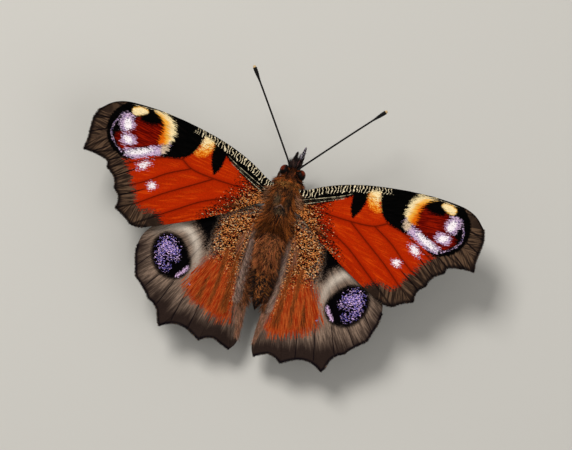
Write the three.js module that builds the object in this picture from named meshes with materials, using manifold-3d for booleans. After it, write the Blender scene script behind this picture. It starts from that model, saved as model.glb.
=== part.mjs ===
// Peacock butterfly (Aglais io), a still life-size model with its wings spread, standing on a floor.
// Millimetres. x is the animal's right, y its front, z up from the floor.
import * as THREE from 'three';
import { mergeVertices } from 'three/addons/utils/BufferGeometryUtils.js';
import Module from 'manifold-3d';

const wasm = await Module();
wasm.setup();

// Clearance between neighbouring pieces, and the thickness of a wing
const gap = 0.3;
const membrane = 0.5;

// Thorax: middle, half sizes and how square its sections are
const thorax = { y: -0.05, z: 6.4, half: [2.45, 3.65, 2.5], blunt: 3.0 };

// Abdomen: a tapering body that leans a little to the right and droops to its tip
const abdomen = {
  front: -2.6, rear: -16.2, width: 2.15, depth: 2.05, lean: 0.5,
  frontZ: 6.1, rearZ: 5.1, segments: 8, ring: 0.09,
};

// Head: turned a little to the right, with the eyes at its sides
const head = { centre: [0.39, 5.78, 6.6], half: [1.35, 1.3, 1.4], turn: 4 };
const eye = { out: 1.3, front: 0.1, up: 0.05, half: [0.8, 0.92, 1.08] };
const collar = { centre: [0.15, 4.15, 6.45], half: [1.95, 0.85, 1.95] };

// Antennae: the shaft, the club at its end, and how far the shaft arches up; each tip as seen from above
const antenna = { root: [0.58, 0.7, 0.8], shaft: 0.26, clubStart: 0.86, club: 0.45, arch: 0.35 };
const antennaTips = { L: [-9.95, 19.75, 10.9], R: [11.95, 18.6, 10.6] };

// Palps: two bristly feelers that reach forward and up between the antennae, from the head's middle
const palp = { root: [0.57, 0.5, -0.7], thick: 0.38, sag: 0.3 };
const palpTips = { L: [-0.3, 3.1, 1.6], R: [0.65, 4.3, 1.1] };

// Proboscis: a flat coil below the face
const proboscis = { centre: [0, 1.4, -1.75], tube: 0.26, inner: 0.35, pitch: 0.86, turns: 1.3, start: 0.6 };

// Legs of the right side, from the body to the end of the foot: [x, y, z, thickness / 2]
const legs = {
  foreleg: [
    [0.9, 2.2, 4.9, 0.36], [1.15, 2.9, 4.0, 0.38], [1.45, 4.3, 3.5, 0.34],
    [1.6, 4.9, 3.6, 0.32], [1.65, 5.8, 3.8, 0.28], [1.55, 6.2, 3.9, 0.26],
  ],
  midleg: [
    [1.2, 0.4, 4.8, 0.42], [1.55, 0.6, 3.6, 0.45], [2.0, 0.8, 3.2, 0.36], [3.4, 1.5, 4.2, 0.4],
    [5.1, 2.3, 5.3, 0.32], [5.6, 2.5, 5.25, 0.32], [7.4, 3.2, 3.1, 0.3], [8.9, 3.8, 0.95, 0.3],
    [9.3, 4.1, 0.32, 0.3], [10.3, 5.0, 0.22, 0.3], [11.3, 5.8, 0.22, 0.3], [11.9, 6.25, 0.22, 0.3],
  ],
  hindleg: [
    [1.1, -1.9, 4.9, 0.42], [1.5, -2.1, 3.7, 0.45], [2.0, -2.35, 3.3, 0.36], [3.4, -2.8, 4.1, 0.4],
    [4.9, -3.3, 5.0, 0.32], [5.3, -3.7, 4.95, 0.32], [6.5, -5.9, 2.9, 0.3], [7.6, -8.1, 0.95, 0.3],
    [7.85, -8.6, 0.32, 0.3], [8.2, -10.0, 0.22, 0.3], [8.5, -11.4, 0.22, 0.3], [8.65, -12.2, 0.22, 0.3],
  ],
};

// Wings of the right side, spread flat: x out from the body's middle line, y forward.
// The margin is a chain of smooth runs that meet at corners, from the front of the root round to its rear.
// Both wings rise outward from their roots, and the hindwing lies below the forewing.
const rise = { root: 7.6, slope: 0.085, bend: 0.0009, from: 2.7 };
const below = { gap: 1.04, slope: 0.05, from: -3 };
const innerFold = { width: 3.4, drop: 1.3, start: -3.0, full: -8.0 };
const sweep = { L: 1.9, R: -1.9 };
const push = { L: -0.4, R: 0.45, from: -11, full: -16, width: 2.4 };
const ridge = { height: 0.2, tip: 0.1, flank: 0.46, skew: 0.07 };
const spacing = { margin: 1.15, vein: 1.7, inside: 2.9, close: 0.34, clear: 1.25 };
const lattice = { middle: [12, -5], reach: 20, turn: 0.3 };

const forewing = {
  pivot: [2.5, 1.7],
  margin: [
    [[0.8, 2.9], [3.4, 3.8], [5.3, 4.85], [8.2, 6.1], [12, 7.2], [16.5, 7.95], [21, 8.35],
      [25, 8.35], [27.9, 7.95], [29.8, 7.0], [31.2, 5.6], [31.65, 4.0], [31.6, 2.1], [31.45, 0.3],
      [31.6, -1.35]],
    [[31.6, -1.35], [30.0, -1.35], [28.4, -1.6], [27.5, -1.95], [27.3, -2.85]],
    [[27.3, -2.85], [26.5, -3.35], [25.8, -4.0], [25.4, -4.7], [25.2, -5.6]],
    [[25.2, -5.6], [24.3, -6.5], [24.0, -7.4], [24.1, -8.5]],
    [[24.1, -8.5], [22.6, -9.2], [21.1, -10.2]],
    [[21.1, -10.2], [20.0, -10.2], [18.8, -9.85], [17.0, -8.95], [13.5, -7.15], [10, -5.1],
      [6.4, -2.7], [4.0, -0.9], [0.8, 0.4]],
  ],
  veins: {
    subcosta: [[1.2, 2.5], [5.0, 4.1], [9.5, 6.0], [14, 7.0], [18.5, 8.15]],
    radius: [[1.2, 2.1], [7, 3.95], [11, 5.25], [14.6, 5.9], [18.5, 6.45], [22.5, 6.5], [27, 5.6],
      [31.6, 3.9]],
    radius1: [[13.2, 5.65], [17.5, 7.0], [22.6, 8.4]],
    radius4: [[22.5, 6.5], [26, 6.9], [29.2, 7.35]],
    media1: [[15.1, 5.3], [20, 5.05], [25.2, 3.8], [28.0, 2.0], [31.6, -1.35]],
    media2: [[15.9, 4.2], [18.6, 3.9], [21.4, 3.0], [25.5, 0.8], [30.0, -1.35]],
    media3: [[16.7, 2.2], [20, 1.3], [23.6, -0.7], [27.3, -2.85]],
    cellEnd: [[14.6, 5.9], [15.9, 4.2], [16.7, 2.2]],
    cubitus: [[1.2, 1.5], [5.5, 1.1], [11.1, 0.9], [14.9, 1.25], [16.7, 2.2]],
    cubitus1: [[14.9, 1.25], [18.2, -0.7], [21.3, -3.2], [25.2, -5.6]],
    cubitus2: [[11.1, 0.9], [14.6, -1.6], [18, -4.05], [21.4, -6.8], [24.1, -8.5]],
    anal: [[1.2, 1.0], [6, -0.5], [11.4, -2.9], [15.2, -5.65], [21.1, -10.2]],
  },
};

const hindwing = {
  pivot: [2.5, -1.7],
  margin: [
    [[0.8, -0.5], [3.4, -0.6], [6.5, -1.1], [9.6, -2.2], [12.8, -3.9], [15.6, -5.9], [17.9, -8.2],
      [19.3, -10.3], [19.65, -12.0], [19.5, -13.6], [19.0, -15.3]],
    [[19.0, -15.3], [18.5, -16.8], [17.6, -17.55], [17.0, -18.1]],
    [[17.0, -18.1], [16.2, -18.9], [15.7, -19.55], [14.9, -19.9]],
    [[14.9, -19.9], [14.0, -20.8], [13.6, -21.8], [13.4, -22.5], [12.95, -23.15]],
    [[12.95, -23.15], [12.1, -22.6], [11.2, -22.2], [10.1, -22.05], [9.1, -22.2]],
    [[9.1, -22.2], [8.2, -22.55], [6.55, -23.5]],
    [[6.55, -23.5], [5.6, -22.85], [4.4, -22.55], [3.4, -22.85], [1.9, -23.4]],
    [[1.9, -23.4], [1.25, -22.1], [1.1, -20.1], [1.2, -17], [1.6, -14], [2.05, -10.5], [2.4, -6.5],
      [2.3, -3.6], [0.8, -2.4]],
  ],
  veins: {
    radius: [[1.2, -1.0], [4.2, -1.7], [8.5, -2.9], [13, -5.6], [16.8, -8.9], [19.6, -12.4]],
    sector: [[4.2, -1.7], [7.4, -4.1], [11, -6.9], [14.5, -10.2], [17.1, -13.2], [19.0, -15.3]],
    media1: [[8.0, -4.6], [12, -9.8], [15.2, -15.1], [17.0, -18.1]],
    media2: [[8.9, -6.9], [11.3, -11.6], [12.9, -15.7], [14.9, -19.9]],
    media3: [[8.0, -10.2], [9.3, -15], [10.7, -18.6], [11.7, -21.4], [12.95, -23.15]],
    cellEnd: [[8.2, -5.0], [8.9, -6.9], [8.0, -10.2]],
    cubitus: [[1.2, -1.7], [4.2, -3.9], [6.0, -7.2], [8.0, -10.2]],
    cubitus1: [[7.0, -8.8], [7.0, -12.5], [7.2, -16], [8.1, -20], [9.1, -22.2]],
    cubitus2: [[5.4, -6.0], [5.1, -10], [5.2, -14], [5.7, -18.6], [6.55, -23.5]],
    anal: [[1.2, -2.0], [3.2, -6.0], [3.4, -11], [3.0, -16.5], [1.9, -23.4]],
  },
};

// Coat: flat tapered locks in rows from front to rear, each sunk into its body and lying back along it.
// Rows run from t to t of the body's length, a row spreads over the top, and its outer locks drift outward.
const lock = {
  sunk: 0.5, rise: 0.75, tip: 0.35, thick: 0.5, stray: 0.03, leave: 0.86,
  stations: [
    { s: 0, wide: 0.8, thick: 0.8 }, { s: 0.45, wide: 1, thick: 1 },
    { s: 0.8, wide: 0.62, thick: 0.66 }, { s: 1, wide: 0, thick: 0 },
  ],
};
const coat = {
  thorax: { t: [0.15, 0.8], rows: 6, spread: 72, across: 7, length: 2.6, width: 1.15, out: 0.05 },
  abdomen: { t: [0.07, 0.5], rows: 6, spread: 58, across: 5, length: 2.2, width: 1.05, out: 0.02 },
  head: { t: [0.3, 0.55], rows: 2, spread: 40, across: 3, length: 1.4, width: 0.75, out: 0 },
};
const bristle = { places: [0.3, 0.48, 0.66, 0.84], turns: [0, -90, -45], length: 1.25, width: 0.55 };

// Faces of a solid: number of sides round a body, a limb and a feeler
const facets = {
  thorax: [22, 14], abdomen: [16, 30], head: [16, 10], eye: [14, 10], limb: 8, feeler: 8, coil: 6,
  coilTurn: 14,
};

// Colours
const finish = {
  thorax: [0x43270f, 0.9], collar: [0x4a2c12, 0.9], head: [0x3a2416, 0.85], eye: [0x4a1f12, 0.3],
  abdomen: [0x6b452c, 0.9], wing: [0xa8300c, 0.8], hind: [0x7c3a1c, 0.8], antenna: [0x1a1512, 0.5],
  palp: [0x241a18, 0.9], proboscis: [0x3a2b20, 0.5], leg: [0x3b2a20, 0.6],
};

const smooth = (t) => {
  const c = Math.min(Math.max(t, 0), 1);
  return c * c * (3 - 2 * c);
};
const material = ([color, roughness]) => new THREE.MeshStandardMaterial({ color, roughness, metalness: 0 });

// A closed mesh from plain corner and triangle lists
function meshOf(corners, faces) {
  const geometry = new THREE.BufferGeometry();
  geometry.setAttribute('position', new THREE.Float32BufferAttribute(corners.flat(), 3));
  geometry.setIndex(faces.flat());
  return geometry;
}

// Joining and cutting of closed meshes
function solidOf(geometry) {
  const plain = geometry.clone();
  plain.deleteAttribute('normal');
  plain.deleteAttribute('uv');
  const merged = mergeVertices(plain, 1e-4);
  const vertProperties = new Float32Array(merged.attributes.position.array);
  const triVerts = new Uint32Array(merged.index.array);
  return new wasm.Manifold(new wasm.Mesh({ numProp: 3, vertProperties, triVerts }));
}

function geometryOf(solid) {
  const bodies = solid.decompose();
  const whole = bodies.reduce((a, b) => (a.volume() > b.volume() ? a : b));
  const { vertProperties, triVerts } = whole.getMesh();
  const geometry = new THREE.BufferGeometry();
  geometry.setAttribute('position', new THREE.Float32BufferAttribute(vertProperties, 3));
  geometry.setIndex(Array.from(triVerts));
  return geometry;
}

// A tube through stations [x, y, z, radius], each section square to the bisector of the path there
function tube(stations, sides) {
  const points = stations.map(([x, y, z]) => new THREE.Vector3(x, y, z));
  const corners = [];
  const faces = [];
  let across = null;
  points.forEach((point, i) => {
    const before = points[Math.max(i - 1, 0)];
    const after = points[Math.min(i + 1, points.length - 1)];
    const along = after.clone().sub(before).normalize();
    if (!across) {
      const least = Math.abs(along.z) < 0.8 ? new THREE.Vector3(0, 0, 1) : new THREE.Vector3(1, 0, 0);
      across = least.cross(along);
    }
    across.addScaledVector(along, -across.dot(along)).normalize();
    const up = along.clone().cross(across);
    for (let k = 0; k < sides; k += 1) {
      const angle = ((k + 0.5) / sides) * 2 * Math.PI;
      const spoke = across.clone().multiplyScalar(Math.cos(angle)).addScaledVector(up, Math.sin(angle));
      corners.push(point.clone().addScaledVector(spoke, stations[i][3]).toArray());
    }
  });
  for (let i = 0; i + 1 < points.length; i += 1) {
    for (let k = 0; k < sides; k += 1) {
      const a = i * sides + k;
      const b = i * sides + ((k + 1) % sides);
      faces.push([a, b, b + sides], [a, b + sides, a + sides]);
    }
  }
  const last = (points.length - 1) * sides;
  for (let k = 1; k + 1 < sides; k += 1) {
    faces.push([0, k + 1, k], [last, last + k, last + k + 1]);
  }
  return meshOf(corners, faces);
}

// A rounded body along y: section(t) gives its centre and half sizes for t from 0, front, to 1, rear
function bodyAlong(section, sides, steps, blunt = 2) {
  const corners = [];
  const faces = [];
  corners.push(section(0).centre);
  for (let i = 1; i < steps; i += 1) {
    const { centre, halfX, halfZ } = section(i / steps);
    for (let k = 0; k < sides; k += 1) {
      const angle = (k / sides) * 2 * Math.PI;
      const [c, s] = [Math.cos(angle), Math.sin(angle)];
      const reach = (Math.abs(c) ** blunt + Math.abs(s) ** blunt) ** (-1 / blunt);
      corners.push([centre[0] + halfX * reach * c, centre[1], centre[2] + halfZ * reach * s]);
    }
  }
  corners.push(section(1).centre);
  const end = corners.length - 1;
  for (let k = 0; k < sides; k += 1) {
    const next = (k + 1) % sides;
    faces.push([0, 1 + next, 1 + k], [end, end - sides + k, end - sides + next]);
    for (let i = 0; i + 2 < steps; i += 1) {
      const a = 1 + i * sides + k;
      const b = 1 + i * sides + next;
      faces.push([a, b + sides, a + sides], [a, b, b + sides]);
    }
  }
  return meshOf(corners, faces);
}

// Superellipsoid between two poles on y, grown on all sides by extra
const squareness = 2.3;
const roundedSection = (centre, half, blunt, extra = 0) => (t) => {
  const turn = Math.cos(t * Math.PI);
  const shrink = (1 - Math.abs(turn) ** blunt) ** (1 / blunt);
  return {
    centre: [centre[0], centre[1] + (half[1] + extra) * turn, centre[2]],
    halfX: (half[0] + extra) * shrink,
    halfZ: (half[2] + extra) * shrink,
  };
};
const thoraxSection = (extra) => roundedSection([0, thorax.y, thorax.z], thorax.half, thorax.blunt, extra);
const headSection = (extra) => roundedSection(head.centre, head.half, 2, extra);
const collarSection = roundedSection(collar.centre, collar.half, 2);
const thoraxBody = (extra = 0) => bodyAlong(thoraxSection(extra), ...facets.thorax, squareness);
const headBody = (extra = 0) => bodyAlong(headSection(extra), ...facets.head, squareness);
const collarBody = () => bodyAlong(collarSection, ...facets.head, squareness);

// Abdomen: width and depth swell just behind the waist and taper to the tip, each segment raised at its rear
function abdomenSection(t, extra = 0) {
  const s = smooth(t / 0.05) ** 0.5 * (1 - 0.28 * t) * (1 - t ** 3.2) ** 0.62;
  const step = (t * abdomen.segments) % 1;
  const ringing = 1 + abdomen.ring * (step - 0.5) * smooth(t * 6) * smooth((1 - t) * 8);
  const length = abdomen.rear - extra - abdomen.front;
  return {
    centre: [abdomen.lean * smooth(t * 1.2), abdomen.front + length * t,
      abdomen.frontZ + (abdomen.rearZ - abdomen.frontZ) * t ** 1.4],
    halfX: abdomen.width * s * ringing + extra,
    halfZ: abdomen.depth * s * ringing + extra,
  };
}
const abdomenBody = (extra = 0) => bodyAlong((t) => abdomenSection(t, extra), ...facets.abdomen);

// A place on the head, given from the head's middle before it turns
function onHead([x, y, z]) {
  const turn = THREE.MathUtils.degToRad(head.turn);
  const [c, s] = [Math.cos(turn), Math.sin(turn)];
  return [head.centre[0] + x * c + y * s, head.centre[1] + y * c - x * s, head.centre[2] + z];
}

function eyeBody(side, extra = 0) {
  const ball = new THREE.SphereGeometry(1, ...facets.eye);
  ball.scale(...eye.half.map((h) => h + extra));
  ball.translate(...onHead([side * eye.out, eye.front, eye.up]));
  return ball;
}

// Height of a wing's middle layer above the floor, at a place on the right side
const foreHeight = (x) => {
  const out = Math.abs(x) - rise.from;
  return rise.root + rise.slope * out + rise.bend * out * out;
};
function hindHeight(x, y) {
  const inner = 1 - smooth((x - 1.2) / innerFold.width);
  const fold = innerFold.drop * inner * smooth((innerFold.start - y) / (innerFold.start - innerFold.full));
  return foreHeight(x) - below.gap - below.slope * Math.max(below.from - y, 0) - fold;
}

// Points about a step apart along a smooth run
function sampled(run, step) {
  const knots = run.map(([x, y]) => new THREE.Vector3(x, y, 0));
  const curve = new THREE.CatmullRomCurve3(knots, false, 'centripetal');
  const count = Math.max(Math.round(curve.getLength() / step), 1);
  return curve.getSpacedPoints(count).map((p) => [p.x, p.y]);
}

// Delaunay triangles of flat points, each point opening and refilling the circles it falls in
function triangulate(points) {
  const far = 1e3;
  const all = [...points, [-far, -far], [far, -far], [0, far]];
  const circle = (a, b, c) => {
    const [ax, ay] = all[a];
    const [bx, by] = [all[b][0] - ax, all[b][1] - ay];
    const [cx, cy] = [all[c][0] - ax, all[c][1] - ay];
    const d = 2 * (bx * cy - by * cx);
    const x = (cy * (bx * bx + by * by) - by * (cx * cx + cy * cy)) / d;
    const y = (bx * (cx * cx + cy * cy) - cx * (bx * bx + by * by)) / d;
    return { face: [a, b, c], x: ax + x, y: ay + y, reach: Math.hypot(x, y) };
  };
  const n = points.length;
  let circles = [circle(n, n + 1, n + 2)];
  points.forEach(([px, py], i) => {
    const edges = new Map();
    circles = circles.filter(({ face, x, y, reach }) => {
      if (Math.hypot(px - x, py - y) > reach) return true;
      face.forEach((a, k) => {
        const b = face[(k + 1) % 3];
        const back = `${b},${a}`;
        if (edges.has(back)) edges.delete(back);
        else edges.set(`${a},${b}`, [a, b]);
      });
      return false;
    });
    edges.forEach(([a, b]) => circles.push(circle(a, b, i)));
  });
  return circles.map(({ face }) => face).filter((face) => face.every((corner) => corner < n));
}

function inside(x, y, loop) {
  let hit = false;
  loop.forEach(([ax, ay], i) => {
    const [bx, by] = loop[(i + 1) % loop.length];
    if ((ay > y) !== (by > y) && x < ((bx - ax) * (y - ay)) / (by - ay) + ax) hit = !hit;
  });
  return hit;
}

// Flat points of a wing with how far each stands proud: the margin, the crests of the veins,
// the feet of each crest on both sides, and the open membrane between
function wingPoints(wing) {
  const points = [];
  const farFrom = (x, y, clear, list = points) => list.every((p) => Math.hypot(p[0] - x, p[1] - y) > clear);
  const loop = wing.margin.flatMap((run) => sampled(run, spacing.margin).slice(1));
  const corner = wing.margin[0][0];
  loop.push(corner);
  loop.forEach(([x, y]) => points.push([x, y, 0]));
  const marginEnd = points.length;
  const lines = Object.values(wing.veins).map((run) => sampled(run, spacing.vein));
  lines.forEach((line) => line.forEach(([x, y], i) => {
    const lift = ridge.height + (ridge.tip - ridge.height) * (i / (line.length - 1));
    if (farFrom(x, y, spacing.close)) points.push([x, y, lift]);
  }));
  const crests = points.slice(marginEnd);
  lines.forEach((line) => line.slice(0, -1).forEach(([x, y], i) => {
    const [nx, ny] = line[i + 1];
    const length = Math.hypot(nx - x, ny - y);
    const [ux, uy] = [(nx - x) / length, (ny - y) / length];
    [1, -1].forEach((side) => {
      const fx = x - side * uy * ridge.flank + side * ux * ridge.skew;
      const fy = y + side * ux * ridge.flank + side * uy * ridge.skew;
      const open = farFrom(fx, fy, ridge.flank * 0.9, crests) && farFrom(fx, fy, spacing.close);
      if (open && inside(fx, fy, loop)) points.push([fx, fy, 0]);
    });
  }));
  const [c, s] = [Math.cos(lattice.turn), Math.sin(lattice.turn)];
  const rowStep = spacing.inside * Math.sqrt(0.75);
  for (let i = -lattice.reach; i < lattice.reach; i += 1) {
    for (let k = -lattice.reach; k < lattice.reach; k += 1) {
      const [u, v] = [(i + (k % 2) / 2) * spacing.inside, k * rowStep];
      const [x, y] = [lattice.middle[0] + u * c - v * s, lattice.middle[1] + u * s + v * c];
      if (inside(x, y, loop) && farFrom(x, y, spacing.clear)) points.push([x, y, 0]);
    }
  }
  return { points, loop };
}

// A wing: the same triangles above and below its middle layer, closed by a rim round the margin
function wingBody(wing, height, side, bend) {
  const { points, loop } = wingPoints(wing);
  const middle = (face, axis) => face.reduce((sum, i) => sum + points[i][axis], 0) / 3;
  const faces = triangulate(points).filter((face) => inside(middle(face, 0), middle(face, 1), loop));
  const turn = THREE.MathUtils.degToRad(side * bend);
  const n = points.length;
  const layer = (direction) => points.map(([x, y, lift]) => {
    const [dx, dy] = [x - wing.pivot[0], y - wing.pivot[1]];
    const outX = wing.pivot[0] + dx * Math.cos(turn) - dy * Math.sin(turn);
    const outY = wing.pivot[1] + dx * Math.sin(turn) + dy * Math.cos(turn);
    return [side * outX, outY, height(x, y) + direction * (membrane / 2 + lift)];
  });
  const corners = [...layer(1), ...layer(-1)];
  const rim = new Map();
  faces.forEach((face) => face.forEach((a, k) => {
    const b = face[(k + 1) % 3];
    if (rim.has(`${b},${a}`)) rim.delete(`${b},${a}`);
    else rim.set(`${a},${b}`, [a, b]);
  }));
  const shell = [];
  faces.forEach(([a, b, c]) => shell.push([a, b, c], [c + n, b + n, a + n]));
  rim.forEach(([a, b]) => shell.push([a, a + n, b + n], [a, b + n, b]));
  const outward = side > 0 ? shell : shell.map(([a, b, c]) => [c, b, a]);
  return meshOf(corners, outward);
}

// Hindwing margins beside the abdomen are pushed aside with its lean
function pushed(wing, amount) {
  const shift = ([x, y]) => {
    const back = smooth((push.from - y) / (push.from - push.full));
    return [x + amount * back * (1 - smooth((x - 1) / push.width)), y];
  };
  return {
    ...wing,
    margin: wing.margin.map((run) => run.map(shift)),
    veins: Object.fromEntries(Object.entries(wing.veins).map(([name, run]) => [name, run.map(shift)])),
  };
}

function antennaBody(side, tip) {
  const [x, y, z] = antenna.root;
  const [from, to] = [new THREE.Vector3(...onHead([side * x, y, z])), new THREE.Vector3(...tip)];
  const stations = [0, 0.12, 0.3, 0.5, 0.7, antenna.clubStart, 0.9, 0.94, 0.98, 1].map((t) => {
    const swell = smooth((t - antenna.clubStart + 0.02) / 0.08) * (t === 1 ? 0.55 : 1);
    const p = from.clone().lerp(to, t);
    p.z += antenna.arch * Math.sin(Math.PI * t);
    return [...p.toArray(), antenna.shaft + (antenna.club - antenna.shaft) * swell];
  });
  return tube(stations, facets.feeler);
}

function onPalp(side, t) {
  const [x, y, z] = palp.root;
  const from = new THREE.Vector3(side * x, y, z);
  const to = new THREE.Vector3(...(side > 0 ? palpTips.R : palpTips.L));
  const p = from.lerp(to, t);
  return onHead([p.x, p.y, p.z - palp.sag * Math.sin(Math.PI * t)]);
}
function palpBody(side) {
  const swell = [[0, 0.8], [0.3, 1], [0.55, 0.95], [0.8, 0.7], [1, 0.4]];
  return tube(swell.map(([t, size]) => [...onPalp(side, t), palp.thick * size]), facets.feeler);
}

function proboscisBody() {
  const steps = Math.round(proboscis.turns * facets.coilTurn);
  const stations = Array.from({ length: steps + 1 }, (_, i) => {
    const turn = (i / steps) * proboscis.turns * 2 * Math.PI;
    const reach = proboscis.inner + (proboscis.pitch * turn) / (2 * Math.PI);
    const angle = turn + proboscis.start;
    const [x, y, z] = proboscis.centre;
    return [...onHead([x, y - reach * Math.cos(angle), z + reach * Math.sin(angle)]), proboscis.tube];
  });
  return tube(stations, facets.coil);
}

// A flat lock through stations on a skin, each a point, the way out of the skin there and the way the lock
// runs. It starts below the skin, rises off it and comes down to a fine tip, in flat rhomb sections.
function lockBody(stations, width) {
  const corners = [];
  stations.forEach(({ point, normal, along }, i) => {
    const { s, wide, thick } = lock.stations[i];
    const height = -lock.sunk * (1 - s) ** 2 + 2 * lock.rise * s * (1 - s) + lock.tip * s * s;
    const middle = point.clone().addScaledVector(normal, height);
    const across = normal.clone().cross(along).normalize();
    if (s === 1) corners.push(middle.toArray());
    else {
      [[1, 0], [0, 1], [-1, 0], [0, -1]].forEach(([a, b]) => {
        const corner = middle.clone().addScaledVector(across, (a * wide * width) / 2);
        corners.push(corner.addScaledVector(normal, (b * thick * lock.thick) / 2).toArray());
      });
    }
  });
  const faces = [[0, 2, 1], [0, 3, 2]];
  const tip = corners.length - 1;
  for (let k = 0; k < 4; k += 1) {
    const next = (k + 1) % 4;
    for (let ring = 0; ring + 8 <= tip; ring += 4) {
      const [a, b] = [ring + k, ring + next];
      faces.push([a, b, b + 4], [a, b + 4, a + 4]);
    }
    faces.push([tip - 4 + k, tip - 4 + next, tip]);
  }
  return meshOf(corners, faces);
}

// The place at t along a rounded body and angle round it: the point, the way out of the skin and the way
// back over it, and how many millimetres one unit of t is there
function onSkin(section, t, angle, blunt) {
  const at = (u, turn) => {
    const { centre, halfX, halfZ } = section(u);
    const [c, s] = [Math.cos(turn), Math.sin(turn)];
    const reach = (Math.abs(c) ** blunt + Math.abs(s) ** blunt) ** (-1 / blunt);
    return new THREE.Vector3(centre[0] + halfX * reach * c, centre[1], centre[2] + halfZ * reach * s);
  };
  const step = 0.01;
  const point = at(t, angle);
  const back = at(t + step, angle).sub(point);
  const rate = back.length() / step;
  const round = at(t, angle + step).sub(point);
  return { point, normal: round.cross(back).normalize(), along: back.normalize(), rate };
}

// Stations of a lock that lies back over a skin, drifting round it, and leaves it straight past t = leave
function laidBack(section, blunt, t, angle, length, drift) {
  const stations = [];
  let [u, turn] = [t, angle];
  let here = onSkin(section, u, turn, blunt);
  lock.stations.forEach(({ s }, i) => {
    if (i > 0) {
      const way = length * (s - lock.stations[i - 1].s);
      turn += drift * way;
      const next = u + way / here.rate;
      if (next < lock.leave) here = onSkin(section, next, turn, blunt);
      else here = { ...here, point: here.point.clone().addScaledVector(here.along, way) };
      u = next;
    }
    stations.push(here);
  });
  return stations;
}

// Repeatable draws between -1 and 1
function draws(seed) {
  let state = seed;
  return () => {
    state = (state * 16807) % 2147483647;
    return state / 1073741823.5 - 1;
  };
}

// Locks in rows over a body, the locks of one row between those of the row before
function coatLocks(section, blunt, style, seed) {
  const draw = draws(seed);
  const locks = [];
  for (let row = 0; row < style.rows; row += 1) {
    for (let k = 0; k < style.across; k += 1) {
      const share = ((k + (row % 2) / 2 + 0.25) / style.across) * 2 - 1;
      const angle = THREE.MathUtils.degToRad(90 - style.spread * share + 5 * draw());
      const t = style.t[0] + ((style.t[1] - style.t[0]) * (row + 0.3 * draw())) / (style.rows - 1);
      const drift = -style.out * share + lock.stray * draw();
      const length = style.length * (1 + 0.15 * draw());
      locks.push(lockBody(laidBack(section, blunt, t, angle, length, drift), style.width));
    }
  }
  return locks;
}

// Bristles that point forward along a palp, on its outer side and below it
function palpLocks(side) {
  return bristle.places.map((t, i) => {
    const point = new THREE.Vector3(...onPalp(side, t));
    const along = new THREE.Vector3(...onPalp(side, t + 0.05)).sub(point).normalize();
    const turn = THREE.MathUtils.degToRad(bristle.turns[i % bristle.turns.length]);
    const normal = new THREE.Vector3(side * Math.cos(turn), 0, Math.sin(turn));
    point.addScaledVector(normal, palp.thick);
    const stations = lock.stations.map(({ s }) => (
      { point: point.clone().addScaledVector(along, s * bristle.length), normal, along }));
    return lockBody(stations, bristle.width);
  });
}

const legBody = (stations, side) => tube(stations.map(([x, y, z, r]) => [x * side, y, z, r]), facets.limb);

// Everything below the floor's level, which cuts the soles flat
const floorCut = new THREE.BoxGeometry(80, 80, 4);
floorCut.translate(0, 0, -2);

const butterfly = new THREE.Group();

const placed = [];
function place(name, solid, look) {
  const mesh = new THREE.Mesh(geometryOf(solid), material(look));
  mesh.name = name;
  butterfly.add(mesh);
  placed.push(solidOf(mesh.geometry));
}

// A body with its locks joined to it, less those that would touch another piece
function coated(body, locks) {
  const clear = (piece) => placed.every((other) => piece.minGap(other, gap) >= gap);
  return locks.map(solidOf).filter(clear).reduce((whole, piece) => whole.add(piece), body);
}

const clearThorax = solidOf(thoraxBody(gap));
const clearAbdomen = solidOf(abdomenBody(gap + abdomen.ring));
const clearHead = solidOf(headBody(gap));
const clearEyes = [-1, 1].map((side) => solidOf(eyeBody(side, gap)));

const sides = { L: -1, R: 1 };
const clearFace = clearHead.add(clearEyes[0]).add(clearEyes[1]);
place('proboscis', solidOf(proboscisBody()).subtract(clearHead), finish.proboscis);
Object.entries(sides).forEach(([name, side]) => {
  place(`eye_${name}`, solidOf(eyeBody(side)), finish.eye);
  const bristles = palpLocks(side).map(solidOf);
  const bristled = bristles.reduce((whole, piece) => whole.add(piece), solidOf(palpBody(side)));
  place(`palp_${name}`, bristled.subtract(clearFace), finish.palp);
  place(`antenna_${name}`, solidOf(antennaBody(side, antennaTips[name])).subtract(clearFace), finish.antenna);
  const fore = solidOf(wingBody(forewing, foreHeight, side, sweep[name] * side));
  place(`forewing_${name}`, fore.subtract(clearThorax), finish.wing);
  const hind = solidOf(wingBody(pushed(hindwing, push[name]), hindHeight, side, 0));
  place(`hindwing_${name}`, hind.subtract(clearThorax).subtract(clearAbdomen), finish.hind);
  Object.entries(legs).forEach(([leg, stations]) => {
    const solid = solidOf(legBody(stations, side)).subtract(clearThorax).subtract(solidOf(floorCut));
    place(`${leg}_${name}`, solid, finish.leg);
  });
});
place('collar', solidOf(collarBody()).subtract(clearThorax).subtract(clearFace), finish.collar);

// The bodies come last, each with the locks that clear all the rest
const bareThorax = solidOf(thoraxBody());
const bareAbdomen = solidOf(abdomenBody()).subtract(clearThorax);
placed.push(bareAbdomen);
place('thorax', coated(bareThorax, coatLocks(thoraxSection(), squareness, coat.thorax, 11)), finish.thorax);
placed.splice(placed.indexOf(bareAbdomen), 1);
place('abdomen', coated(bareAbdomen, coatLocks(abdomenSection, 2, coat.abdomen, 23)), finish.abdomen);
const bareHead = solidOf(headBody()).subtract(clearEyes[0]).subtract(clearEyes[1]);
place('head', coated(bareHead, coatLocks(headSection(), squareness, coat.head, 37)), finish.head);

// The origin is on the floor below the middle of the model
butterfly.updateMatrixWorld(true);
const box = new THREE.Box3().setFromObject(butterfly);
const middle = box.getCenter(new THREE.Vector3());
butterfly.position.set(-middle.x, -middle.y, -box.min.z);

export default butterfly;
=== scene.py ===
# A peacock butterfly (Aglais io) at rest with its wings spread, life size: the dressed model and its studio
import math
import time

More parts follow.
